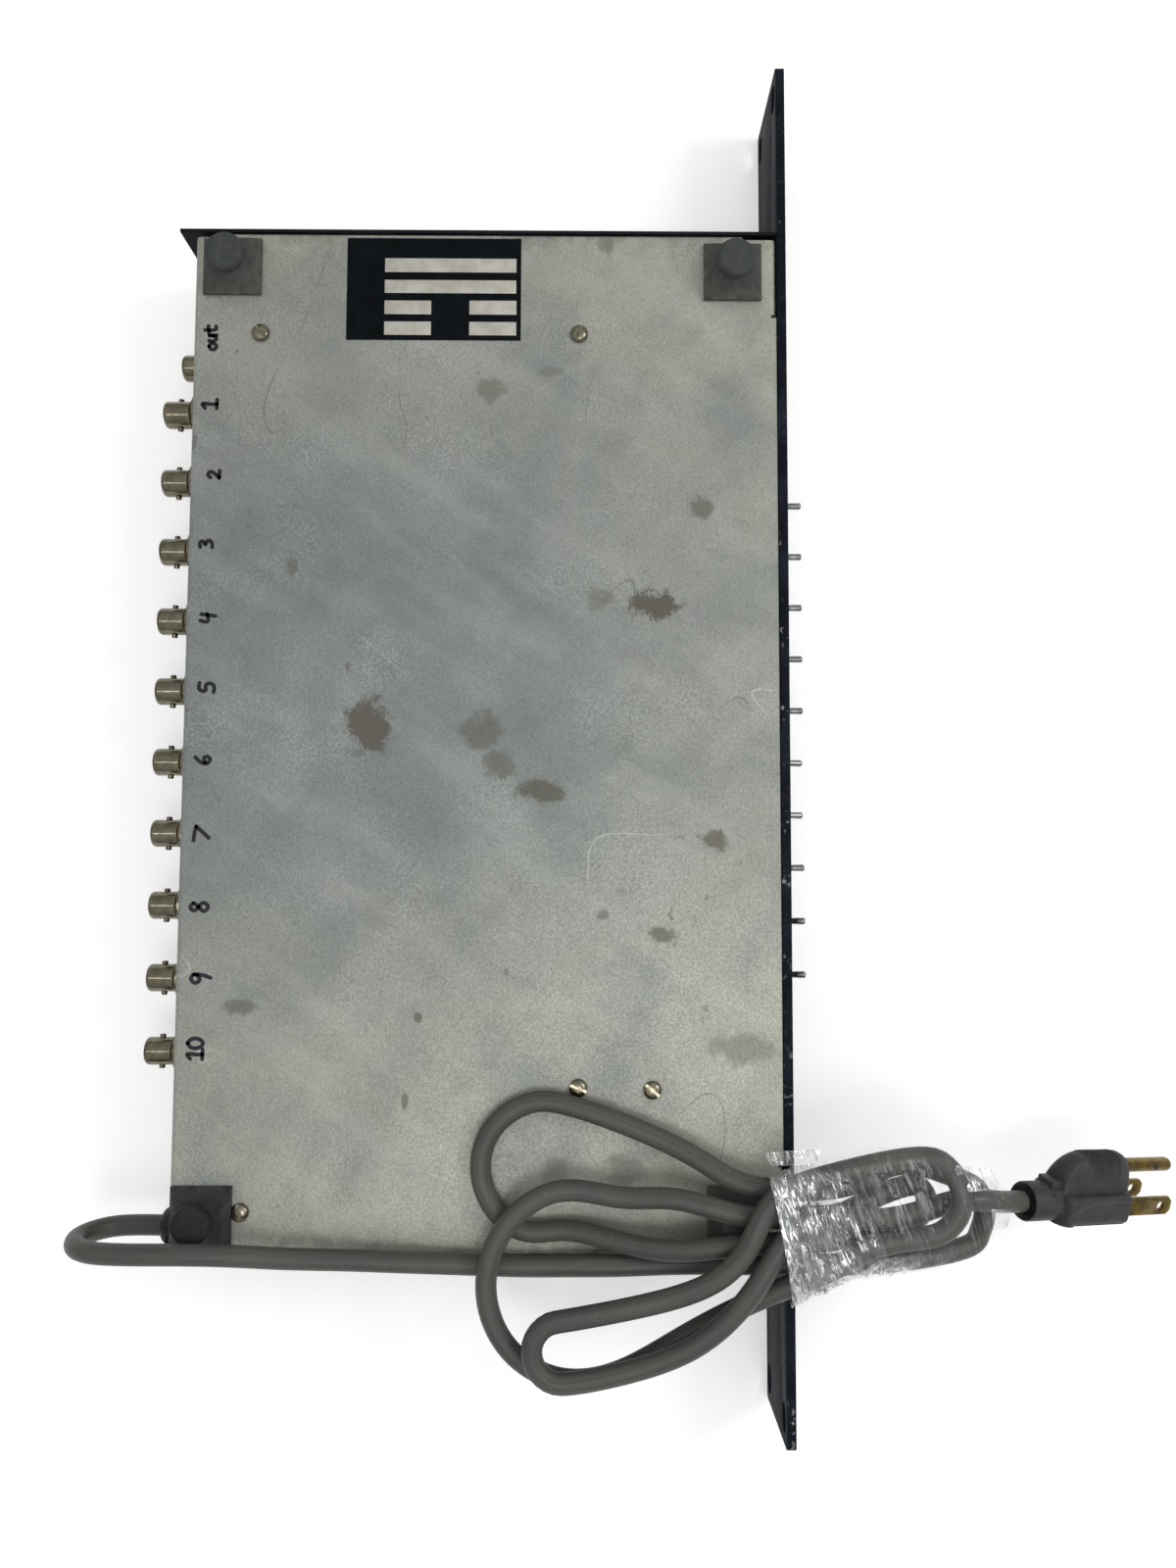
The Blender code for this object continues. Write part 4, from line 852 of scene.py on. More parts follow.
@dataclass
class Copies:
    """Copies of one prototype, set out by a Geometry Nodes tree and made one plain mesh."""

    name: str
    prototype: Shape
    finish: Finish
    crease: float = CREASE

    def row(self, start: Vec, step: Vec, count: int) -> Piece:
        """Set the copies in a straight row.

        Args:
            start: The first copy's place.
            step: The way from each copy to the next.
            count: How many there are.

        Returns:
            The piece.
        """
        tree = self.new_tree((("Count", "Int"), ("Start", "Vector"), ("Step", "Vector")))
        given = tree.nodes["Group Input"].outputs
        inputs = {"Count": given["Count"], "Start Location": given["Start"], "Offset": given["Step"]}
        line = add_node(tree, "GeometryNodeMeshLine", inputs, mode="OFFSET")
        self.instance(tree, line.outputs[0], {})
        host = bpy.data.objects.new(self.name, bpy.data.meshes.new(self.name))
        return self.realise(tree, host, {"Count": count, "Start": start, "Step": step})

    def on_points(self, places: list[Matrix]) -> Piece:
        """Set a copy at each place, turned as the place is.

        Args:
            places: The copies' places.

        Returns:
            The piece.
        """
        tree = self.new_tree((("Points", "Geometry"),))
        given = tree.nodes["Group Input"].outputs
        kind = "FLOAT_VECTOR"
        turn = add_node(tree, "GeometryNodeInputNamedAttribute", {"Name": "turn"}, data_type=kind)
        self.instance(tree, given["Points"], {"Rotation": turn.outputs[0]})
        mesh = bpy.data.meshes.new(self.name)
        mesh.from_pydata([place.translation for place in places], [], [])
        turns = mesh.attributes.new("turn", kind, "POINT")
        turns.data.foreach_set("vector", [angle for place in places for angle in place.to_euler()])
        return self.realise(tree, bpy.data.objects.new(self.name, mesh), {})

    def new_tree(self, sockets: tuple[tuple[str, str], ...]) -> Tree:
        """Return a tree with an object and a finish among its inputs.

        Args:
            sockets: The names and kinds of the tree's other inputs.

        Returns:
            The tree.
        """
        tree = bpy.data.node_groups.new(self.name, "GeometryNodeTree")
        for name, kind in sockets + (("Prototype", "Object"), ("Finish", "Material")):
            tree.interface.new_socket(name=name, in_out="INPUT", socket_type="NodeSocket" + kind)
        tree.interface.new_socket(name="Copies", in_out="OUTPUT", socket_type="NodeSocketGeometry")
        add_node(tree, "NodeGroupInput", {}, name="Group Input")
        return tree

    @staticmethod
    def instance(tree: Tree, points: Socket, extra: dict) -> None:
        """Put the prototype on points, make the copies real and give them the finish.

        Args:
            tree: The tree that grows.
            points: Where the copies go.
            extra: Further inputs of the instancing node.
        """
        given = tree.nodes["Group Input"].outputs
        source = add_node(tree, "GeometryNodeObjectInfo", {"Object": given["Prototype"]})
        inputs = {"Points": points, "Instance": source.outputs["Geometry"], **extra}
        copies = add_node(tree, "GeometryNodeInstanceOnPoints", inputs)
        real = add_node(tree, "GeometryNodeRealizeInstances", {"Geometry": copies.outputs[0]})
        inputs = {"Geometry": real.outputs[0], "Material": given["Finish"]}
        done = add_node(tree, "GeometryNodeSetMaterial", inputs)
        add_node(tree, "NodeGroupOutput", {"Copies": done.outputs[0]})

    def realise(self, tree: Tree, host: Piece, values: dict) -> Piece:
        """Run the tree on a host object and keep the result as a plain piece.

        Args:
            tree: The finished tree.
            host: The object that carries the tree's modifier.
            values: The tree's inputs by name.

        Returns:
            The piece.
        """
        name = self.name + "_seed"
        seed = bpy.data.objects.new(name, to_mesh(name, self.prototype, self.crease))
        scene = bpy.context.scene.collection.objects
        scene.link(seed)
        scene.link(host)
        modifier = host.modifiers.new("copies", "NODES")
        modifier.node_group = tree
        values = {**values, "Prototype": seed, "Finish": self.finish.material()}
        for socket in tree.interface.items_tree:
            if socket.name in values:
                modifier[socket.identifier] = values[socket.name]
        shown = host.evaluated_get(bpy.context.evaluated_depsgraph_get())
        mesh = bpy.data.meshes.new_from_object(shown)
        for spare in (seed, host):
            bpy.data.objects.remove(spare)
        return enlist(self.name, mesh, self.finish)


@dataclass(frozen=True)
class WhiteFloor(Finish):
    """A pale floor that keeps its shadow, and is lifted to white where the camera sees it."""

    lift: float = 0.34
    blots: str = "#8f8f8e"
    shown: str = "#ececec"

    def dress(self, surface: Surface) -> None:
        """Add light to what the camera sees, directly or in metal and film.

        Args:
            surface: The material's nodes.
        """
        path = surface.add("ShaderNodeLightPath", {}).outputs
        mirrored = surface.calc(path["Is Glossy Ray"], path["Is Transmission Ray"], "MAXIMUM")
        seen = surface.calc(path["Is Camera Ray"], mirrored, "MAXIMUM")
        surface.shader.inputs["Emission Color"].default_value = WHITE
        shade = surface.blend(surface.speckle(0.4, 0.3, 0.7), self.colour, self.blots)
        tone = surface.blend(seen, shade, self.shown)
        surface.paint(base_color=tone, emission_strength=surface.calc(seen, self.lift))


@dataclass
class Studio:
    """The camera at the photograph's view, a pale floor and soft light."""

    camera_place: Vec = (-0.050937, -0.035736, 0.46372)
    camera_turn: Vec = (4.32751, -0.29076, -89.80972)
    focal: float = 28.016
    sensor: float = 36.0
    floor_size: float = 200.0
    floor_drop: float = 0.0004
    low_level: float = 0.38
    high_level: float = 0.80
    lamps: tuple[tuple[str, Vec, float, float], ...] = (
        ("key", (-0.30, -0.10, 1.05), 0.30, 6.5), ("side", (0.20, -0.70, 0.75), 0.35, 6.5),
        ("rear", (-0.10, 0.44, 0.95), 0.09, 7.0),
    )

    def build(self) -> None:
        """Set up the view, the floor and the light."""
        self.build_camera()
        self.build_floor()
        self.build_world()
        for lamp in self.lamps:
            self.build_lamp(*lamp)
        bpy.context.scene.view_settings.view_transform = "Standard"

    def build_camera(self) -> None:
        """Place the camera."""
        data = bpy.data.cameras.new("view")
        data.sensor_fit = "VERTICAL"
        data.sensor_height = self.sensor
        data.lens = self.focal
        data.clip_start = 0.01
        camera = bpy.data.objects.new("view", data)
        camera.location = self.camera_place
        camera.rotation_euler = [math.radians(angle) for angle in self.camera_turn]
        bpy.context.scene.collection.objects.link(camera)
        bpy.context.scene.camera = camera

    def build_floor(self) -> None:
        """Lay the floor just under the unit."""
        bm = bmesh.new()
        bmesh.ops.create_grid(bm, x_segments=1, y_segments=1, size=self.floor_size / 2)
        bm.transform(Matrix.Translation((0.0, 0.0, -self.floor_drop)))
        mesh = to_mesh("floor", bm)
        mesh.materials.append(WhiteFloor("white_floor", Slot.ZINC, "#959594", 0.9).material())
        floor = bpy.data.objects.new("floor", mesh)
        bpy.context.scene.collection.objects.link(floor)

    def build_world(self) -> None:
        """Light the scene from all round, less from low down."""
        world = bpy.data.worlds.new("room")
        bpy.context.scene.world = world
        world.use_nodes = True
        tree = world.node_tree
        place = add_node(tree, "ShaderNodeTexCoord", {}).outputs["Generated"]
        height = add_node(tree, "ShaderNodeSeparateXYZ", {0: place}).outputs["Z"]
        levels = {"Value": height, "To Min": self.low_level, "To Max": self.high_level}
        rise = add_node(tree, "ShaderNodeMapRange", levels)
        tree.links.new(rise.outputs[0], tree.nodes["Background"].inputs["Strength"])
        tree.nodes["Background"].inputs["Color"].default_value = WHITE

    @staticmethod
    def build_lamp(name: str, place: Vec, size: float, level: float) -> None:
        """Hang a soft lamp that looks at the unit.

        Args:
            name: The lamp's name.
            place: Where it hangs.
            size: The length of its side.
            level: How bright its face is, where 1 shows a colour as written.
        """
        data = bpy.data.lights.new(name, "AREA")
        data.size = size
        data.energy = level * math.pi * size ** 2
        lamp = bpy.data.objects.new(name, data)
        lamp.location = place
        lamp.rotation_euler = Vector(place).to_track_quat("Z", "Y").to_euler()
        bpy.context.scene.collection.objects.link(lamp)


def smooth_curve(route: list[Vec], density: int) -> np.ndarray:
    """Return points on one natural cubic curve through a route.

    Args:
        route: The points that the curve goes through.
        density: How many points it gets from each to the next.

    Returns:
        The curve's points, one to a row.
    """
    knots = np.array(route)
    gaps = np.sqrt(np.linalg.norm(np.diff(knots, axis=0), axis=1))
    count = len(knots)
    matrix = np.eye(count)
    sides = np.zeros_like(knots)
    for i in range(1, count - 1):
        matrix[i, i - 1:i + 2] = (gaps[i - 1], 2 * (gaps[i - 1] + gaps[i]), gaps[i])
        sides[i] = 6 * ((knots[i + 1] - knots[i]) / gaps[i] - (knots[i] - knots[i - 1]) / gaps[i - 1])
    bends = np.linalg.solve(matrix, sides)
    points = []
    for i in range(count - 1):
        t = np.linspace(0.0, 1.0, density, endpoint=False)[:, None]
        sag = ((1 - t) ** 3 - (1 - t)) * bends[i] + (t ** 3 - t) * bends[i + 1]
        points.append((1 - t) * knots[i] + t * knots[i + 1] + sag * gaps[i] ** 2 / 6)
    return np.vstack(points + [knots[-1:]])


def runs(points: np.ndarray) -> np.ndarray:
    """Return the distance along a line at each of its points."""
    return np.concatenate(([0.0], np.cumsum(np.linalg.norm(np.diff(points, axis=0), axis=1))))


def headings(points: np.ndarray) -> np.ndarray:
    """Return the direction of a line at each of its points."""
    ahead = np.gradient(points, axis=0)
    return ahead / np.linalg.norm(ahead, axis=1)[:, None]


def resample(points: np.ndarray, step: float) -> np.ndarray:
    """Space points evenly along a line of points.

    Args:
        points: The line.
        step: About how far apart the new points are.

    Returns:
        The new points.
    """
    distance = runs(points)
    wanted = np.linspace(0.0, distance[-1], round(distance[-1] / step) + 1)
    return np.column_stack([np.interp(wanted, distance, points[:, k]) for k in range(3)])


def length_of(points: np.ndarray) -> float:
    """Return the length of a line of points."""
    return float(np.linalg.norm(np.diff(points, axis=0), axis=1).sum())


def sweep(points: np.ndarray, radius: float, sides: int) -> Shape:
    """Sweep a round section along points, with a chart of lengths along and round it.

    Args:
        points: The centre line.
        radius: The section's radius.
        sides: How many points the section has.

    Returns:
        The tube, capped, with its chart in the UV layer called along.
    """
    heading = headings(points)
    across = Vector((0.0, 0.0, 1.0)).cross(Vector(heading[0])).normalized()
    rings = []
    for i, (point, ahead) in enumerate(zip(points, heading)):
        if i:
            across = Vector(heading[i - 1]).rotation_difference(Vector(ahead)) @ across
        up = Vector(ahead).cross(across)
        ways = [across * math.cos(a) + up * math.sin(a) for a in once_round(sides)]
        rings.append([Vector(point) + way * radius for way in ways])
    bm = skin(rings)
    chart = bm.loops.layers.uv.new("along")
    distance = runs(points)
    arc = 2 * math.pi * radius / sides
    bm.faces.ensure_lookup_table()
    for index in range((len(points) - 1) * sides):
        row, column = divmod(index, sides)
        corners = ((row, column), (row, column + 1), (row + 1, column + 1), (row + 1, column))
        for loop, (along, around) in zip(bm.faces[index].loops, corners):
            loop[chart].uv = (distance[along], around * arc)
    return bm


@dataclass(frozen=True)
class Bow:
    """One end loop of the hank: an arc of the centre line, its angles in degrees from +X to +Y."""

    centre: Flat
    radius: float
    start: float
    end: float
    heights: Vec
    count: int = 7

    def points(self) -> list[Vec]:
        """Set out points along the loop.

        Returns:
            The points, their heights over the pan.
        """
        x, y = self.centre
        angles = np.radians(np.linspace(self.start, self.end, self.count))
        curve = np.polyfit((0.0, 0.5, 1.0), self.heights, 2)
        levels = np.polyval(curve, np.linspace(0.0, 1.0, self.count))
        return [(x + self.radius * math.cos(a), y + self.radius * math.sin(a), level)
                for a, level in zip(angles, levels)]


@dataclass
class MainsCord:
    """The mains cord from its strain relief, over the pan, through the bundle and to the plug."""

    relief: Vec = (-0.1711, REAR_WALL_Y, 0.03266)
    inside: float = 0.0069
    relief_reach: float = 0.0046
    plug_place: Vec = (-0.1577, -0.1822, 0.0081)
    plug_turn: Vec = (24.2, -4.6, -77.6)
    lead: tuple[Vec, ...] = (
        (-0.1713, 0.1210, -0.0108), (-0.1717, 0.1282, -0.0078), (-0.1722, 0.1322, -0.0005),
        (-0.1727, 0.1305, 0.0080), (-0.1730, 0.1245, 0.0136), (-0.1730, 0.1150, 0.0162),
        (-0.1729, 0.1020, 0.0170), (-0.1730, 0.0887, 0.0168), (-0.1742, 0.0750, 0.0141),
        (-0.1759, 0.0611, 0.0108), (-0.1772, 0.0430, 0.0078), (-0.1783, 0.0252, 0.0061),
        (-0.1793, 0.0050, 0.0049), (-0.1800, -0.0165, 0.0047), (-0.1798, -0.0330, 0.0052),
        (-0.1793, -0.0480, 0.0064),
    )
    rear_bows: tuple[Bow, ...] = (
        Bow((-0.1480, -0.0240), 0.0218, -20.0, 200.0, (0.0044, 0.0038, 0.0042)),
        Bow((-0.1838, -0.0360), 0.0310, -25.0, 200.0, (0.0122, 0.0123, 0.0088)),
        Bow((-0.2026, -0.0300), 0.0098, 0.0, 185.0, (0.0187, 0.0183, 0.0182)),
    )
    front_bows: tuple[Bow, ...] = (
        Bow((-0.1617, -0.1603), 0.0105, 206.0, 338.0, (0.0092, 0.0036, 0.0078)),
        Bow((-0.1584, -0.1456), 0.0056, 185.0, 350.0, (0.0066, 0.0046, 0.0060)),
        Bow((-0.1521, -0.1440), 0.0125, 192.0, 345.0, (0.0252, 0.0262, 0.0250)),
    )
    passes: tuple[tuple[Vec, ...], ...] = (
        ((-0.1783, -0.0650, 0.0076), (-0.1768, -0.0900, 0.0122), (-0.1769, -0.1100, 0.0128),
         (-0.1767, -0.1245, 0.0124), (-0.1752, -0.1464, 0.0108)),
        ((-0.1450, -0.1430, 0.0108), (-0.1486, -0.1310, 0.0120), (-0.1522, -0.1200, 0.0126),
         (-0.1516, -0.0906, 0.0130), (-0.1425, -0.0720, 0.0092)),
        ((-0.1724, -0.0600, 0.0118), (-0.1694, -0.0890, 0.0172), (-0.1690, -0.1100, 0.0152),
         (-0.1676, -0.1270, 0.0116)),
        ((-0.1566, -0.1320, 0.0092), (-0.1606, -0.1200, 0.0136), (-0.1608, -0.1060, 0.0156),
         (-0.1603, -0.0890, 0.0172), (-0.1555, -0.0670, 0.0152)),
        ((-0.2000, -0.0690, 0.0126), (-0.1866, -0.0920, 0.0176), (-0.1786, -0.1090, 0.0212),
         (-0.1732, -0.1200, 0.0224), (-0.1676, -0.1300, 0.0242)),
        ((-0.1452, -0.1190, 0.0222), (-0.1538, -0.0970, 0.0248), (-0.1668, -0.0893, 0.0256),
         (-0.1775, -0.0800, 0.0242), (-0.1862, -0.0600, 0.0210)),
        ((-0.2058, -0.0590, 0.0198), (-0.1950, -0.0780, 0.0230), (-0.1790, -0.0920, 0.0252),
         (-0.1645, -0.1020, 0.0250), (-0.1590, -0.1147, 0.0228), (-0.1604, -0.1283, 0.0203)),
    )
    tail: tuple[Vec, ...] = (
        (-0.1599, -0.1392, 0.0188), (-0.1578, -0.1480, 0.0180), (-0.1555, -0.1570, 0.0172),
        (-0.1556, -0.1675, 0.0154),
    )
    density: int = 24
    step: float = 0.0022
    sides: int = 24
    points: np.ndarray = field(init=False)

    def __post_init__(self) -> None:
        """Work out the centre line."""
        self.points = resample(smooth_curve(self.route(), self.density), self.step)

    def plug_frame(self) -> Matrix:
        """Work out the plug's place.

        Returns:
            The place, whose own Z runs from the cord to the blades.
        """
        droop, swing, roll = (math.radians(angle) for angle in self.plug_turn)
        x, y, height = self.plug_place
        turn = Matrix.Rotation(swing, 4, "Z") @ Matrix.Rotation(droop + math.pi / 2, 4, "X")
        return Matrix.Translation((x, y, PAN_Z + height)) @ turn @ Matrix.Rotation(roll, 4, "Z")

    def route(self) -> list[Vec]:
        """List the points that the centre line goes through.

        Returns:
            The points, in order.
        """
        x, wall, z = self.relief
        over = list(self.lead) + list(self.passes[0])
        for turn, (front, rear) in enumerate(zip(self.front_bows, self.rear_bows)):
            over += front.points() + list(self.passes[2 * turn + 1])
            over += rear.points() + list(self.passes[2 * turn + 2])
        over += self.tail
        frame = self.plug_frame()
        axis = frame.to_3x3() @ Vector((0.0, 0.0, 1.0))
        end = frame.translation - axis * GAP
        route = [(x, y, z) for y in (wall - self.inside, wall, wall + self.relief_reach)]
        route += [(px, py, PAN_Z + height) for px, py, height in over]
        return route + [tuple(end - axis * 2 * CORD_RADIUS), tuple(end)]

    def build(self) -> None:
        """Build the cord with its strain relief, film and plug."""
        cord = enlist("mains_cord", sweep(self.points, CORD_RADIUS, self.sides), VINYL, crease=60.0)
        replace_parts(cord, "cord_lead", "cord_hank", "cord_tail")
        self.build_relief()
        film = Wrap(self.points).build()
        on_it = [film] + Plug(self.plug_frame()).build()
        length_of(self.points)

    def build_relief(self) -> None:
        """Build the strain relief: a domed nylon bush."""
        bore = CORD_RADIUS + GAP
        bm = lathe([
            (bore, -0.009), (0.0066, -0.009), (0.0066, -0.0015), (0.0054, -0.0015), (0.0054, GAP),
            (0.0064, GAP), (0.0065, 0.0008), (0.0065, 0.0019), (0.0062, 0.0030), (0.0056, 0.0040),
            (0.0050, 0.0045), (bore + 0.0003, 0.0046), (bore, 0.0043),
        ], 48, closed=True)
        bm.transform(facing(1.0, self.relief))
        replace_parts(enlist("cord_relief", bm, NYLON), "strain_relief")


@dataclass
class Wrap:
    """Clear film stretched round the bundle's waist and over its front loops."""

    points: np.ndarray
    start: float = -0.0990
    end: float = -0.1760
    slant: float = 0.19
    middle: float = -0.1640
    waist: float = 0.018
    slack: float = 0.0006
    half_slice: float = 0.0035
    least_height: float = 0.003
    least_lean: float = 0.05
    smoothing: int = 4
    stations: int = 150
    around: int = 210
    pull: Flat = (0.93, 0.36)
    wrinkle: Flat = (0.012, 0.0018)
    wrinkle_heights: Flat = (0.0003, 0.0008)
    flaps: tuple[tuple[Vec, ...], ...] = (
        ((-0.1389, -0.0943, 0.0660), (-0.1373, -0.1125, 0.0672),
         (-0.1428, -0.1105, 0.0665), (-0.1429, -0.0968, 0.0660)),
        ((-0.1413, -0.1535, 0.0720), (-0.1425, -0.1649, 0.0715),
         (-0.1488, -0.1690, 0.0700), (-0.1498, -0.1561, 0.0720)),
        ((-0.1577, -0.1686, 0.0610), (-0.1589, -0.1759, 0.0590),
         (-0.1645, -0.1742, 0.0580), (-0.1645, -0.1691, 0.0600)),
    )
    flap_wave: float = 0.0012

    def build(self) -> Piece:
        """Build the film with its loose flaps.

        Returns:
            The piece.
        """
        bm = bmesh.new()
        layer = bm.verts.layers.float.new("crush")
        rows = []
        for share, outline in zip(np.linspace(0.0, 1.0, self.stations), self.outlines()):
            rows.append([self.place(bm, layer, share, point) for point in outline])
        web(bm, rows)
        for flap in self.flaps:
            self.add_flap(bm, layer, flap)
        piece = enlist("stretch_film", bm, FILM, crease=80.0)
        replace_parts(piece, "cord_wrap")
        return piece

    def outlines(self) -> list[np.ndarray]:
        """Work out the film's outlines round the cord.

        Returns:
            The outlines from its rear edge to its front, each a column of X, Y and Z.
        """
        angles = once_round(self.around)
        ways = np.column_stack((np.cos(angles), np.sin(angles)))
        lean = np.cos(angles[:, None] - angles[None, :])
        least = self.least_lean
        places = np.linspace(self.start, self.end, self.stations)
        centres, reaches = [], []
        for y in places:
            flat = self.points[np.abs(self.points[:, 1] - y) < self.half_slice][:, (0, 2)]
            flat = flat[flat[:, 1] > PAN_Z + self.least_height]
            centre = (flat.min(axis=0) + flat.max(axis=0)) / 2
            support = ((flat - centre) @ ways.T).max(axis=0) + CORD_RADIUS + self.slack
            reach = np.where(lean > least, support[None, :] / np.maximum(lean, least), np.inf).min(axis=1)
            centres.append(centre)
            reaches.append(reach)
        outlines = []
        even = (smoothed(np.array(rows), self.smoothing) for rows in (centres, reaches))
        for y, centre, reach in zip(places, *even):
            flat = centre + ways * reach[:, None]
            outlines.append(np.column_stack((flat[:, 0], np.full(self.around, y), flat[:, 1])))
        return outlines

    def place(self, bm: Shape, layer: Layer, share: float, point: np.ndarray) -> Vert:
        """Add a point of the film, wrinkled along its pull.

        Args:
            bm: The film.
            layer: The layer that says how crushed it is.
            share: How far along the film the point is, from its rear edge to its front.
            point: The smooth film's point.

        Returns:
            The new vertex.
        """
        x, y, z = point
        y += self.slant * (x - self.middle) * (1.0 - share) ** 2
        ahead, aside = self.pull
        pull = (x * ahead + y * aside) / self.wrinkle[0]
        cross = (y * ahead - x * aside) / self.wrinkle[1]
        crush = self.crush(share, x, y)
        wave = noise.noise(Vector((pull, cross, z / 0.01)))
        wave += 0.5 * noise.noise(Vector((pull * 2, cross * 2.2, 3.0)))
        out = Vector((x - self.middle, 0.0, z - PAN_Z - self.waist)).normalized()
        tight, crushed = self.wrinkle_heights
        vert = bm.verts.new(Vector((x, y, z)) + out * (tight + crushed * crush) * wave)
        vert[layer] = crush
        return vert

    def crush(self, share: float, x: float, y: float) -> float:
        """Return how crushed the film is: fully at its rear edge and along its low side.

        Args:
            share: How far along the film the place is, from its rear edge to its front.
            x: The place's X.
            y: The place's Y.

        Returns:
            The crush, from 0 to 1.
        """
        ragged = 0.12 * noise.noise(Vector((x / 0.006, y / 0.006, 0.0)))
        reach = 0.36 - 5.6 * (x - self.middle)
        band = clamped((reach - share + ragged) / 0.22)
        low = clamped((self.middle - 0.005 - x) / 0.010) * clamped((0.72 - share + ragged) / 0.2)
        return max(band, 0.9 * low)

    def add_flap(self, bm: Shape, layer: Layer, corners: tuple[Vec, ...]) -> None:
        """Add a loose flap between four corners, waved and bright at its borders.

        Args:
            bm: The film.
            layer: The layer that says how crushed it is.
            corners: The flap's corners in order round it.
        """
        first, second, third, fourth = (np.array(corner) for corner in corners)
        rows = []
        for v in np.linspace(0.0, 1.0, 10):
            row = []
            for u in np.linspace(0.0, 1.0, 18):
                near, far = (1 - u) * first + u * second, (1 - u) * fourth + u * third
                point = Vector((1 - v) * near + v * far)
                wave = noise.noise(Vector((point.x / 0.004, point.y / 0.004, 5.0)))
                vert = bm.verts.new(point + Vector((0.3 * wave, 0.6 * wave, wave)) * self.flap_wave)
                vert[layer] = 1.0 if min(u, v, 1 - u, 1 - v) < 0.05 else 0.4
                row.append(vert)
            rows.append(row)
        web(bm, rows, around=False)


def smoothed(values: np.ndarray, reach: int) -> np.ndarray:
    """Return rows averaged with their neighbours within a reach."""
    padded = np.pad(values, ((reach, reach), (0, 0)), mode="edge")
    return np.mean([padded[i:i + len(values)] for i in range(2 * reach + 1)], axis=0)


def quarter(share: float) -> float:
    """Return the rise of a quarter circle at a share of its run."""
    return math.sqrt(1.0 - (1.0 - clamped(share)) ** 2)


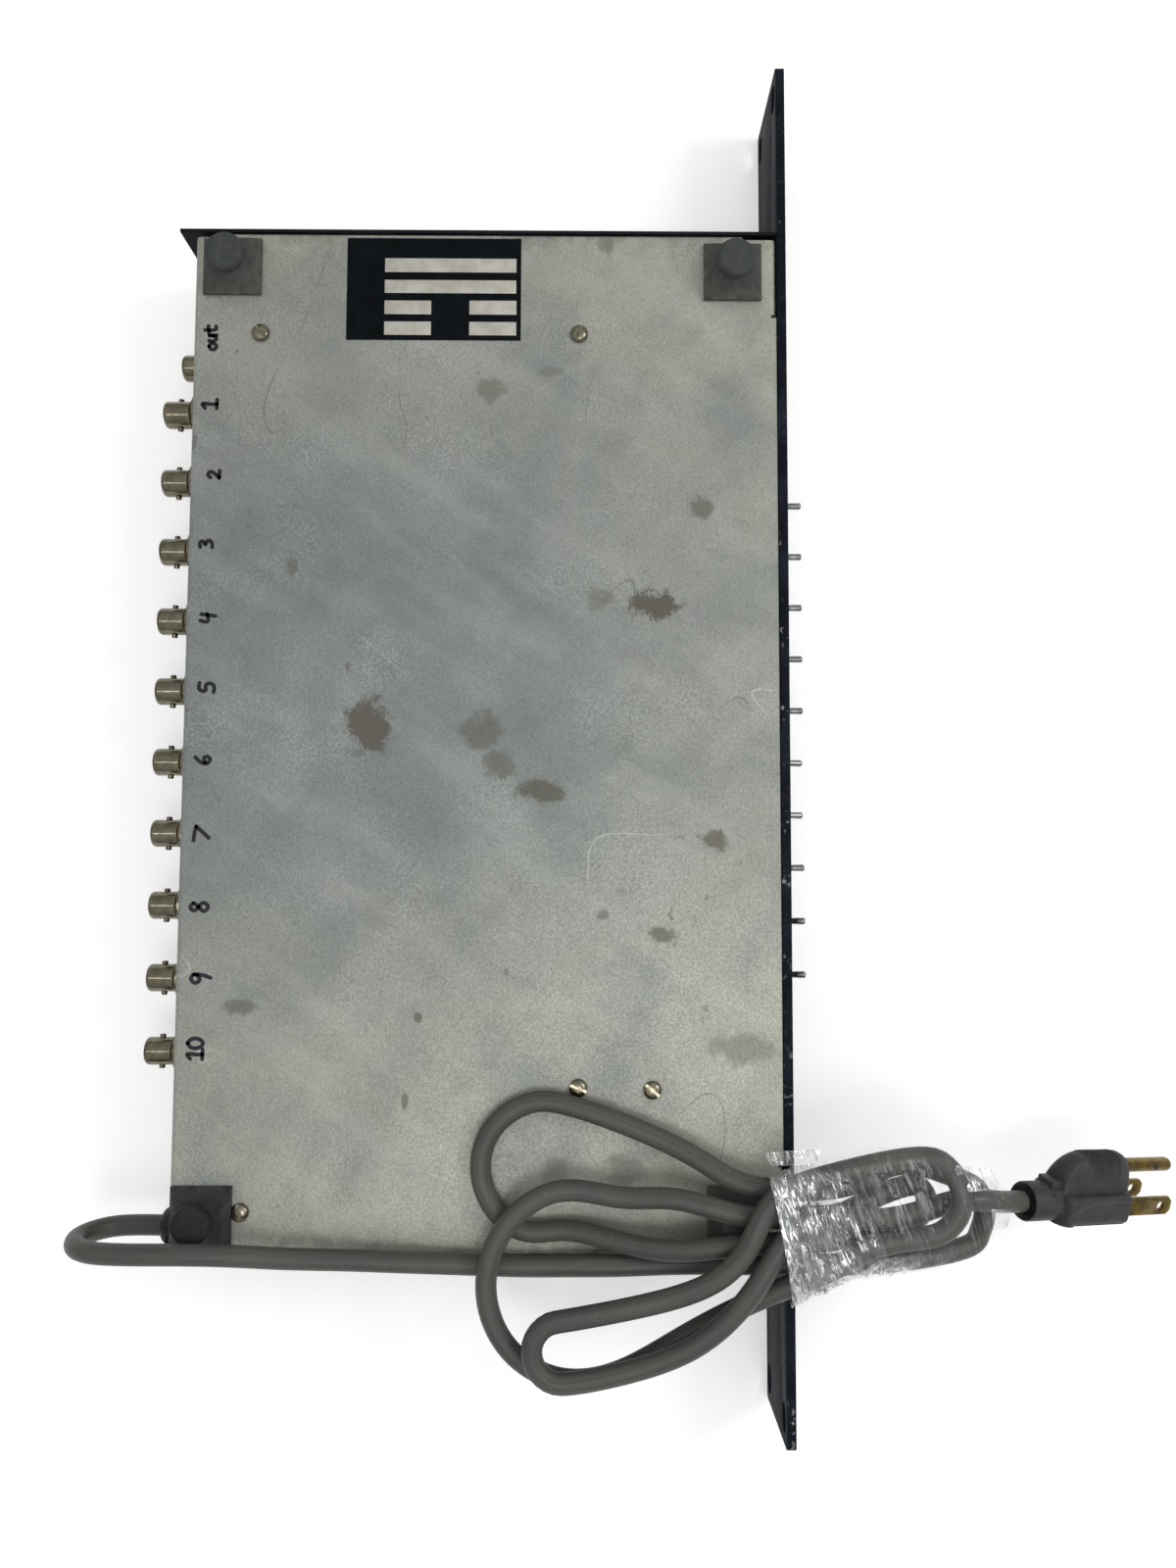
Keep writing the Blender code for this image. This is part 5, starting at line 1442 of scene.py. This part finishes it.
@dataclass
class Plug:
    """The moulded plug: a cupped collar, a body with hollowed flanks and a ribbed hump, blades and a pin."""

    frame: Matrix
    length: float = 0.0402
    face: float = 0.0425
    collar: float = 0.0064
    neck: float = 0.0118
    half_width: float = 0.0097
    bottom: float = -0.0062
    shelf: float = 0.0047
    top: float = 0.0168
    hump: float = 0.0054
    rib: float = 0.0008
    rib_height: float = 0.00024
    hollow: float = 0.0012
    sides: int = 160
    blade_spacing: float = 0.0127
    pin: float = 0.0024
    pin_offset: float = 0.0119
    # The radius of the dark rod that paints the shade in the pin's cross hole
    pin_hole: float = 0.0009
    # Where the dark blocks that paint the shade in the collar's vent slots sit
    slot_places: tuple[Vec, ...] = ((-0.0010, 0.0062, -0.0058), (-0.0047, 0.0041, -0.0040))

    def build(self) -> list[Piece]:
        """Build the plug.

        Returns:
            Its pieces.
        """
        body = enlist("plug_moulding", self.moulding(), MOULDED, crease=50.0)
        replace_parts(body, "plug_body")
        # The collar's vent slots are not cut: dark nylon blocks stand in them as painted shade
        slots = bmesh.new()
        for x, y, z in self.slot_places:
            slot = block((-0.0004, -0.0004, -0.0008), (0.0001, 0.0004, 0.0008), 0.00005)
            turn = Matrix.Rotation(math.atan2(y, x), 4, "Z")
            join(slots, slot, self.frame @ turn @ Matrix.Translation((self.collar, 0.0, self.neck + z)))
        return [body, enlist("plug_slots", slots, NYLON)] + self.build_contacts()

    def reach(self, half_x: float, low: float, high: float, power: float) -> np.ndarray:
        """Return how far a rounded shape goes from the plug's axis, at even angles.

        Args:
            half_x: Half of its width.
            low: Its lower end.
            high: Its upper end.
            power: 2 for a round shape, more for a squarer one.

        Returns:
            The distances.
        """
        angles = once_round(self.sides)
        near, far = np.zeros(self.sides), np.full(self.sides, 0.04)
        for _ in range(30):
            middle = (near + far) / 2
            across = np.abs(middle * np.cos(angles)) / half_x
            along = np.abs(middle * np.sin(angles) - (low + high) / 2) / ((high - low) / 2)
            within = across ** power + along ** power < 1.0
            near, far = np.where(within, middle, near), np.where(within, far, middle)
        return near

    def section(self, height: float) -> list[Vec]:
        """Return the body's section at a distance from the cord's end: the wide body and the hump as one.

        Args:
            height: The distance.

        Returns:
            The section's points.
        """
        past, left = height - self.neck, self.length - height
        grown = quarter(past / 0.0025)
        wide = self.collar + (self.half_width - self.collar) * grown
        low = -self.collar + (self.bottom + self.collar) * grown
        rise = (self.top - self.collar) * quarter(past / 0.0105)
        high = self.collar + rise - 0.003 * (1 - quarter(left / 0.003))
        body = self.reach(wide, low, self.shelf, 5.0)
        hump = self.reach(self.hump, -self.hump, high, 2.8)
        away = np.maximum(body, hump) - 0.0005 * (1 - quarter(left / 0.0006))
        return [(d * math.cos(a), d * math.sin(a), height) for a, d in zip(once_round(self.sides), away)]

    def moulding(self) -> Shape:
        """Make the moulded body with its ribs, hollows and the ledge behind its hump.

        Returns:
            The body as a bmesh.
        """
        mouth = CORD_RADIUS + 0.0006
        rounds = [(mouth, 0.0045), (mouth + 0.0006, 0.0022), (0.88 * self.collar, 0.0004),
                  (0.95 * self.collar, 0.0), (self.collar, 0.0006), (self.collar, self.neck - 0.0001)]
        rings = [ring(radius, height, self.sides) for radius, height in rounds]
        body = self.length - self.neck
        steps = np.concatenate((np.linspace(0.0, 0.0026, 9), np.linspace(0.0032, 0.0080, 9),
                                np.arange(0.0084, 0.0240, 0.000135), np.linspace(0.0242, body, 14)))
        rings += [self.section(self.neck + float(step)) for step in steps]
        bm = skin(rings)
        for vert in bm.verts:
            self.carve(vert)
        join(bm, block((-0.0034, 0.0056, self.neck - 0.0040), (0.0034, 0.0080, self.neck + 0.0010), 0.0003))
        bm.transform(self.frame)
        return bm

    def carve(self, vert: Vert) -> None:
        """Raise the hump's ribs and press a leaf-shaped hollow into each flank.

        Args:
            vert: The vertex that moves, in the plug's own frame.
        """
        x, y, z = vert.co
        past = z - self.neck
        if y > 0.0076 and 0.0112 - 0.0026 * ((y - 0.0076) / 0.0092) ** 2 < past < 0.0238:
            out = Vector((x, y - self.pin_offset, 0.0)).normalized()
            vert.co += out * self.rib_height * math.sin(2 * math.pi * past / self.rib)
        run = past - 0.0009
        if run > 0.0 and abs(x) > 0.75 * self.half_width:
            half = 0.0056 * math.sqrt(min(1.0, run / 0.0105))
            inside = min(min(0.0036, half - 0.0020) - y, y + 0.0020 + 1.2 * half)
            vert.co.x -= math.copysign(self.hollow * clamped(inside / self.hollow), x)

    def build_contacts(self) -> list[Piece]:
        """Build the blades, the ground pin and the dark rod that paints the shade in the pin's cross hole.

        Returns:
            Their pieces.
        """
        root = self.face + GAP
        buried = self.length - self.face
        pieces = []
        for index, side in enumerate((-1, 1), 1):
            bm = blade(buried)
            bm.transform(self.frame @ Matrix.Translation((side * self.blade_spacing / 2, 0.0, root)))
            pieces.append(enlist(f"blade_{index}", bm, BRASS))
            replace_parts(pieces[-1], f"plug_blade_{index}")
        bm = lathe([(self.pin, buried)] + dome(self.pin, 0.0186, 9), 40)
        bm.transform(self.frame @ Matrix.Translation((0.0, self.pin_offset, root)))
        pieces.append(enlist("ground_pin", bm, BRASS))
        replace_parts(pieces[-1], "plug_ground_pin")
        # The pin's cross hole is not cut: a dark nylon rod through the pin stands in it as painted shade
        hole = lathe([(self.pin_hole, -0.00242), (self.pin_hole, 0.00242)], 24)
        turn = Matrix.Rotation(math.pi / 2, 4, "Y")
        hole.transform(self.frame @ Matrix.Translation((0.0, self.pin_offset, root + 0.0125)) @ turn)
        return pieces + [enlist("pin_hole", hole, NYLON)]


def blade(root: float) -> Shape:
    """Make a plug's blade along Z, with cut tip corners and a hole near the tip.

    Args:
        root: The height of its root.

    Returns:
        The blade as a bmesh.
    """
    half, length, corner, hole, half_thick = 0.003175, 0.0178, 0.0016, 0.0016, 0.00075
    cut = length - corner
    corners = [(-half, root), (half, root), (half, cut), (half - corner, length),
               (corner - half, length), (-half, cut)]
    outline = []
    for start, end in zip(corners, corners[1:] + corners[:1]):
        outline += [tuple(point) for point in np.linspace(start, end, 6, endpoint=False)]
    centre = length - 0.0048
    bore = []
    for x, z in outline:
        angle = math.atan2(z - centre, x)
        bore.append((hole * math.cos(angle), centre + hole * math.sin(angle)))
    walls = ((bore, half_thick), (bore, -half_thick), (outline, -half_thick), (outline, half_thick))
    bm = skin([[(level, x, z) for x, z in points] for points, level in walls], closed=True)
    bmesh.ops.recalc_face_normals(bm, faces=bm.faces)
    soften(bm, 0.00018, 2, 60.0)
    return bm


@dataclass
class Chassis:
    """The pan, its cover, the marks on the pan and the blank foil plate."""

    nodes: dict[str, Piece]
    mark_height: float = 0.0052
    mark_width: float = 0.00135
    mark_lift: float = 0.00003
    plate_low: Flat = (0.1388, -0.0133)
    plate_high: Flat = (0.1763, 0.0487)
    plate_thickness: float = 0.00025
    field_thickness: float = 0.00004

    def build(self) -> None:
        """Build the sheet metal and what is on it."""
        merged_copy(self.nodes["chassis_pan"], "pan", PLATED)
        merged_copy(self.nodes["top_cover"], "cover", ENAMEL)
        self.build_marks()
        self.build_plate()

    def build_marks(self) -> None:
        """Write the jack numbers and the output's word along the rear edge in marker."""
        bm = bmesh.new()
        for word, place, size in MARKS:
            scale = size * self.mark_height
            advance = 0.72 * scale
            left = place[0] - advance * len(word) / 2
            for index, sign in enumerate(word):
                for stroke in STROKES[sign]:
                    self.draw(bm, stroke, (left + index * advance, place[1] - scale / 2), scale)
        enlist("marker_numbers", bm, INK)

    def draw(self, bm: Shape, stroke: tuple[Flat, ...], corner: Flat, scale: float) -> None:
        """Draw one stroke of the marker as a flat ribbon with round ends.

        Args:
            bm: The bmesh that grows.
            stroke: The stroke's points in a box of height 1.
            corner: The box's lower left corner on the pan.
            scale: The box's height.
        """
        z = PAN_Z + self.mark_lift
        half = self.mark_width / 2
        points = smooth_curve([(corner[0] + x * scale, corner[1] + y * scale, z) for x, y in stroke], 8)
        heading = headings(points)
        side = np.column_stack((-heading[:, 1], heading[:, 0], np.zeros(len(points)))) * self.mark_width / 2
        for centre, ahead in ((points[0], -heading[0]), (points[-1], heading[-1])):
            start = math.atan2(ahead[1], ahead[0])
            angles = np.linspace(start - math.pi / 2, start + math.pi / 2, 9)
            rim = [centre + half * np.array((math.cos(a), math.sin(a), 0.0)) for a in angles]
            bm.faces.new([bm.verts.new(point) for point in rim])
        rows = [(bm.verts.new(p + s), bm.verts.new(p - s)) for p, s in zip(points, side)]
        for (left, right), (next_left, next_right) in zip(rows, rows[1:]):
            bm.faces.new((right, next_right, next_left, left))

    def build_plate(self) -> None:
        """Stick the foil plate on the pan, its fields blank."""
        low = PAN_Z + 0.00004
        top = low + self.plate_thickness
        enlist("foil_plate", block((*self.plate_low, low), (*self.plate_high, top), 0.00008), FOIL)
        fields = bmesh.new()
        for start, end in PLATE_FIELDS:
            join(fields, block((*start, top), (*end, top + self.field_thickness), 0.00001))
        enlist("foil_fields", fields, FIELD)


# The plate's blank fields, each by two corners on the pan
PLATE_FIELDS = (
    ((0.1637, -0.0116), (0.1688, 0.0352)), ((0.1560, -0.0116), (0.1608, 0.0352)),
    ((0.1482, 0.0186), (0.1532, 0.0352)), ((0.1482, -0.0117), (0.1533, 0.0050)),
    ((0.1406, 0.0186), (0.1455, 0.0352)), ((0.1406, -0.0117), (0.1455, 0.0050)),
)
# What is written on the pan, where its middle is, and its size
MARKS = (
    ("out", (0.1392, 0.0967), 0.8), ("1", (0.1149, 0.0964), 1.0), ("2", (0.0897, 0.0943), 0.78),
    ("3", (0.0648, 0.0964), 0.85), ("4", (0.0387, 0.0950), 1.0), ("5", (0.0139, 0.0947), 1.0),
    ("6", (-0.0114, 0.0955), 0.97), ("7", (-0.0368, 0.0953), 1.0), ("8", (-0.0620, 0.0953), 1.15),
    ("9", (-0.0863, 0.0941), 1.28), ("10", (-0.1100, 0.0954), 1.0),
)
# Each sign's strokes, in a box of height 1
STROKES = {
    "o": (((0.35, 0.62), (0.10, 0.45), (0.10, 0.15), (0.35, 0.0), (0.58, 0.18), (0.58, 0.48),
           (0.35, 0.62)),),
    "u": (((0.12, 0.62), (0.10, 0.25), (0.30, 0.02), (0.52, 0.20), (0.58, 0.62)),
          ((0.58, 0.62), (0.62, 0.0))),
    "t": (((0.35, 1.0), (0.33, 0.4), (0.45, 0.05), (0.68, 0.08)), ((0.05, 0.66), (0.70, 0.72))),
    "0": (((0.40, 1.0), (0.12, 0.75), (0.12, 0.25), (0.38, 0.0), (0.66, 0.25), (0.66, 0.75),
           (0.40, 1.0)),),
    "1": (((0.12, 0.80), (0.42, 1.0), (0.40, 0.5), (0.40, 0.0)), ((0.10, 0.02), (0.72, 0.0))),
    "2": (((0.10, 0.80), (0.32, 1.0), (0.58, 0.82), (0.42, 0.42), (0.05, 0.02)),
          ((0.05, 0.02), (0.70, 0.0))),
    "3": (((0.10, 0.95), (0.50, 0.95), (0.55, 0.72), (0.30, 0.55), (0.62, 0.35), (0.50, 0.06),
           (0.08, 0.0)),),
    "4": (((0.15, 1.0), (0.08, 0.52), (0.60, 0.55)), ((0.58, 0.95), (0.52, 0.5), (0.46, 0.0))),
    "5": (((0.70, 1.0), (0.22, 0.96), (0.18, 0.60), (0.52, 0.58), (0.66, 0.28), (0.45, 0.02),
           (0.08, 0.05)),),
    "6": (((0.58, 1.0), (0.22, 0.60), (0.16, 0.20), (0.40, 0.0), (0.62, 0.18), (0.50, 0.42),
           (0.22, 0.30)),),
    "7": (((-0.08, 1.0), (0.40, 0.94), (0.86, 0.84)), ((0.86, 0.84), (0.52, 0.46), (0.10, 0.0))),
    "8": (((0.60, 0.86), (0.36, 1.0), (0.18, 0.80), (0.40, 0.54), (0.62, 0.26), (0.40, 0.0),
           (0.15, 0.22), (0.38, 0.52), (0.60, 0.80)),),
    "9": (((0.60, 0.85), (0.38, 1.0), (0.16, 0.78), (0.34, 0.56), (0.58, 0.74)),
          ((0.60, 0.85), (0.56, 0.4), (0.42, 0.0))),
}


@dataclass
class Feet:
    """Four moulded bumper feet, square at the pan and round at the tread."""

    places: tuple[Flat, ...] = (
        (0.1651, 0.0893), (0.1640, -0.0887), (-0.1655, 0.0918), (-0.1650, -0.0887))
    base: float = 0.0205
    base_edge: float = 0.0012
    height: float = 0.0132
    head: float = 0.0138
    head_height: float = 0.0038
    tread: float = 0.0098
    sides: int = 96

    def build(self) -> None:
        """Build the feet as copies of one moulding."""
        kinds = (("bumper_feet", RUBBER, (1, 2, 4)), ("dark_foot", DARK_RUBBER, (3,)))
        for name, finish, numbers in kinds:
            places = [Matrix.Translation((*self.places[number - 1], PAN_Z + GAP)) for number in numbers]
            feet = Copies(name, self.moulding(), finish, 9.0).on_points(places)
            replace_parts(feet, *(f"foot_{number}" for number in numbers))

    def moulding(self) -> Shape:
        """Make a foot: a square base, flats and cones that run up to a round head, and a dimple.

        Returns:
            The foot as a bmesh.
        """
        head, tread = self.head / 2, self.tread / 2
        top = self.height - GAP
        low = top - self.head_height
        edge = head - tread
        rounds = [(head - 0.0006, low), (head - 0.0007, low + 0.0002), (head - 0.0001, low + 0.0005)]
        for angle in np.radians(np.linspace(0.0, 90.0, 14)):
            rounds.append((tread + edge * math.cos(angle), top - edge * (1.0 - math.sin(angle))))
        rounds += [(0.0010, top), (0.0008, top - 0.0002), (0.0003, top - 0.0003)]
        bm = skin([ring(radius, height, self.sides) for radius, height in rounds])
        rim = list(bm.verts)[:self.sides]
        under = [face for face in bm.faces if len(face.verts) == self.sides and rim[0] in face.verts]
        bmesh.ops.delete(bm, geom=under, context="FACES_ONLY")
        reach = self.base / 2
        signs = ((1, 1), (-1, 1), (-1, -1), (1, -1))
        floor = [bm.verts.new((x * reach, y * reach, 0.0)) for x, y in signs]
        upper = [bm.verts.new((x * reach, y * reach, self.base_edge)) for x, y in signs]
        fold = self.sides // 4
        bm.faces.new(list(reversed(floor)))
        for k in range(4):
            bm.faces.new((floor[k - 1], floor[k], upper[k], upper[k - 1]))
            bm.faces.new((upper[k - 1], upper[k], rim[k * fold]))
            for i in range(k * fold, (k + 1) * fold):
                bm.faces.new((upper[k], rim[(i + 1) % self.sides], rim[i]))
        return bm


@dataclass
class Jacks:
    """The bayonet jacks of the rear wall: ten inputs in a row, and the output lower down."""

    first: Vec = (0.1162, REAR_WALL_Y, 0.02916)
    output: Vec = (0.1416, REAR_WALL_Y, 0.01066)
    pitch: float = 0.0254
    count: int = 10
    barrel: float = 0.00485
    reach: float = 0.0133
    lug_height: float = 0.0081

    def build(self) -> None:
        """Build the shells, insulators and contacts."""
        kinds = ((self.shell, "shells", NICKEL), (self.insulator, "insulators", INSULATOR),
                 (self.contact, "contacts", GOLD))
        step = (-self.pitch, 0.0, 0.0)
        for make, name, finish in kinds:
            row = Copies(f"jack_{name}", self.turned(make()), finish).row(self.first, step, self.count)
            alone = Copies(f"output_{name}", self.turned(make()), finish).row(self.output, step, 1)
            if finish is NICKEL:
                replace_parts(row, *(f"jack_{i}" for i in range(1, self.count + 1)))
                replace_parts(alone, "jack_out")

    @staticmethod
    def turned(bm: Shape) -> Shape:
        """Return a jack's part turned to face the rear."""
        bm.transform(facing(1.0))
        return bm

    def shell(self) -> Shape:
        """Make the shell: nut, thread, barrel with a rolled mouth, and two bayonet lugs.

        Returns:
            The shell as a bmesh.
        """
        flats = 0.0138
        barrel, reach = self.barrel, self.reach
        profile = [(0.0030, -0.0090), (0.0030, -0.0036), (0.0064, -0.0036), (0.0064, -0.0016),
                   (0.0047, -0.0016), (0.0047, GAP), (0.0069, GAP, flats), (0.0078, 0.0008, flats),
                   (0.0078, 0.0020, flats), (0.0070, 0.0026, flats), (0.0054, 0.0026)]
        for turn in range(3):
            profile += [(0.0052, 0.0027 + 0.0005 * turn), (0.0049, 0.00295 + 0.0005 * turn)]
        profile += [(barrel, 0.0043), (barrel, 0.0045), (barrel, reach - 0.0011), (barrel, reach - 0.0009),
                    (barrel - 0.0003, reach - 0.0002), (barrel - 0.0005, reach),
                    (barrel - 0.00075, reach - 0.0002), (barrel - 0.0008, 0.0050), (0.0010, 0.0050)]
        bm = lathe(profile, 60)
        for side in (-1, 1):
            lug = lathe([(0.00105, 0.0044), (0.00105, 0.0057), (0.0009, 0.0059), (0.0006, 0.00595)], 20)
            turn = Matrix.Rotation(side * math.pi / 2, 4, "Y")
            join(bm, lug, Matrix.Translation((0.0, 0.0, self.lug_height)) @ turn)
        return bm

    def insulator(self) -> Shape:
        """Make the insulator: a tube that stands in the barrel.

        Returns:
            The insulator as a bmesh.
        """
        top = self.reach - 0.0012
        profile = [(0.0011, 0.0051), (0.0024, 0.0051), (0.0024, top - 0.0002), (0.0022, top),
                   (0.0013, top), (0.0011, top - 0.0003)]
        return lathe(profile, 36, closed=True)

    def contact(self) -> Shape:
        """Make the middle contact: a tube inside the insulator.

        Returns:
            The contact as a bmesh.
        """
        top = self.reach - 0.0020
        profile = [(0.0006, 0.0060), (0.00105, 0.0060), (0.00105, top - 0.0002), (0.0009, top),
                   (0.0006, top)]
        return lathe(profile, 24, closed=True)


@dataclass
class Front:
    """The front panel with its toggles and lamps, and the switch board behind it."""

    nodes: dict[str, Piece]
    count: int = 10
    pitch: float = 0.01905
    lamp_z: float = 0.01133
    pivot_y: float = -0.106275
    mouth_y: float = -0.110775
    case_front_y: float = -0.103375
    board_y: float = -0.092975
    swing: float = 12.0
    tilts: tuple[int, ...] = (0, 0, 0, 0, 0, -1, -1, 0, 1, 1)

    def build(self) -> None:
        """Build the panel and everything on it."""
        merged_copy(self.nodes["front_panel"], "panel", PANEL_ENAMEL, 0.00035)
        self.build_levers()
        self.build_switches()
        self.build_lamps()

    @property
    def first_x(self) -> float:
        """The first switch's X."""
        return (self.count - 1) / 2 * self.pitch

    def row(self, name: str, bm: Shape, finish: Finish, y: float, z: float) -> Piece:
        """Set a piece at every switch.

        Args:
            name: The row's name.
            bm: The prototype, about its own Z, which turns to the front.
            finish: Its finish.
            y: Where the prototype's zero goes.
            z: The row's height.

        Returns:
            The piece.
        """
        bm.transform(facing(-1.0))
        return Copies(name, bm, finish).row((self.first_x, y, z), (-self.pitch, 0.0, 0.0), self.count)

    def build_levers(self) -> None:
        """Build the toggles' levers, each on its own body."""
        profile = dome(0.0023, 0.0, 12, -DOME_END, 0.98) + [
            (0.00108, 0.0026), (0.00118, 0.0060), (0.00125, 0.0090), (0.00125, 0.00935),
            (0.00112, 0.00962), (0.00085, 0.00982), (0.0005, 0.009925)]
        for index, tilt in enumerate(self.tilts, 1):
            bm = lathe(profile, 32)
            turn = Matrix.Rotation(-tilt * math.radians(self.swing), 4, "X")
            x = self.first_x - (index - 1) * self.pitch
            bm.transform(Matrix.Translation((x, self.pivot_y, PANEL_MIDDLE_Z)) @ turn @ facing(-1.0))
            piece = enlist(f"toggle_{index}", bm, CHROME, f"{Body.LEVER.value}_{index}")
            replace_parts(piece, f"toggle_lever_{index}")

    def build_switches(self) -> None:
        """Build the bushings, their nuts, the switch cases and their board."""
        length = self.case_front_y - self.mouth_y
        thread, bore, flats = 0.0033, 0.00265, 0.008
        profile = [(0.0008, 0.0), (thread, 0.0)]
        for turn in range(9):
            profile += [(thread, 0.0018 + 0.0006 * turn), (0.00308, 0.0021 + 0.0006 * turn)]
        profile += [(thread, length - 0.0004), (0.0031, length), (0.0027, length), (bore, length - 0.0003),
                    (bore, 0.0004), (0.0008, 0.0004)]
        self.row("bushings", lathe(profile, 36, closed=True), NICKEL, self.case_front_y, PANEL_MIDDLE_Z)
        nut = lathe([(0.00337, 0.0), (0.0043, 0.0, flats), (0.0047, 0.0003, flats), (0.0047, 0.0015, flats),
                     (0.0042, 0.0019, flats), (0.0036, 0.0019), (0.00337, 0.0017)], 48, closed=True)
        self.row("bushing_nuts", nut, NICKEL, PANEL_FRONT_Y - 0.00005, PANEL_MIDDLE_Z)
        depth = self.board_y - self.case_front_y
        case = block((-0.004, -0.0065, -depth + 0.0001), (0.004, 0.0065, -0.0001), 0.0003)
        self.row("switch_cases", case, CASE, self.case_front_y, PANEL_MIDDLE_Z)
        low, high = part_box("switch_board")
        board = block((low[0], self.board_y, low[2]), high, 0.0001)
        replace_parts(enlist("switch_laminate", board, BOARD), "switch_board")

    def build_lamps(self) -> None:
        """Build the lamps' lenses, domed in front of the panel."""
        base = self.board_y - GAP
        tip = base - PANEL_FRONT_Y + 0.0024
        shelf = base - PANEL_BACK_Y - GAP
        lens, flange = 0.0015, 0.0019
        profile = [(flange, 0.0), (flange, shelf), (lens, shelf)] + dome(lens, tip - lens, 9)
        lamps = self.row("lamps", lathe(profile, 28), LENS, base, self.lamp_z)
        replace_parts(lamps, *(f"lamp_{i}" for i in range(1, self.count + 1)))


@dataclass
class Fasteners:
    """The pan's five slotted screws."""

    places: tuple[Vec, ...] = (
        (0.1410, 0.0789, 35.0), (0.1412, -0.0341, -20.0), (-0.1226, -0.0348, 68.0),
        (-0.1232, -0.0600, 50.0), (-0.1640, 0.0788, 15.0),
    )
    shank: float = 0.00145
    head: float = 0.0031
    rise: float = 0.0019
    slot: float = 0.00055
    slot_depth: float = 0.0010

    def build(self) -> None:
        """Build the screws as copies of one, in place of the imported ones."""
        places = [Matrix.Translation((x, y, PAN_Z + GAP)) @ Matrix.Rotation(math.radians(angle), 4, "Z")
                  for x, y, angle in self.places]
        screws = Copies("pan_screws", self.screw(), STEEL, 30.0).on_points(places)
        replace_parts(screws, *(f"screw_{i}" for i in range(1, len(self.places) + 1)))

    def screw(self) -> Shape:
        """Make a round-head screw with a slot along X.

        Returns:
            The screw as a bmesh.
        """
        top = [(self.head * math.cos(a) ** 0.8, self.rise * (0.2 + 0.8 * math.sin(a)))
               for a in np.linspace(0.0, DOME_END, 10)]
        bm = lathe([(self.shank, -0.0055), (self.shank, 0.0), (self.head, 0.0)] + top, 48)
        for side in (-1.0, 1.0):
            geometry = list(bm.verts) + list(bm.edges) + list(bm.faces)
            place = (0.0, side * self.slot, 0.0)
            bmesh.ops.bisect_plane(bm, geom=geometry, plane_co=place, plane_no=(0.0, 1.0, 0.0))
        floor = self.rise - self.slot_depth
        middles = [(face, face.calc_center_median()) for face in bm.faces]
        faces = [face for face, middle in middles if abs(middle.y) < self.slot and middle.z > floor]
        sunk = bmesh.ops.extrude_face_region(bm, geom=faces)["geom"]
        for vert in {item for item in sunk if isinstance(item, Vert)}:
            vert.co.z = floor
        bmesh.ops.delete(bm, geom=faces, context="FACES")
        return bm


@dataclass
class Inside:
    """What stands inside the case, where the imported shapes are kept."""

    nodes: dict[str, Piece]

    def build(self) -> None:
        """Give each hidden node its finish."""
        finishes = {"main_board": BOARD, "transformer_core": CORE, "transformer_winding": WINDING}
        finishes.update({f"standoff_{i}": NICKEL for i in (1, 2, 3)})
        for name, finish in finishes.items():
            mesh = self.nodes[name].data
            mesh.materials.clear()
            mesh.materials.append(finish.material())


def main() -> None:
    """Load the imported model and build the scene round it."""
    logging.basicConfig(level=logging.INFO)
    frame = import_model()
    nodes = frame["nodes"]
    Studio().build()
    MainsCord().build()
    Chassis(nodes).build()
    Feet().build()
    Jacks().build()
    Front(nodes).build()
    Fasteners().build()
    Inside(nodes).build()


if __name__ == "__main__":
    main()
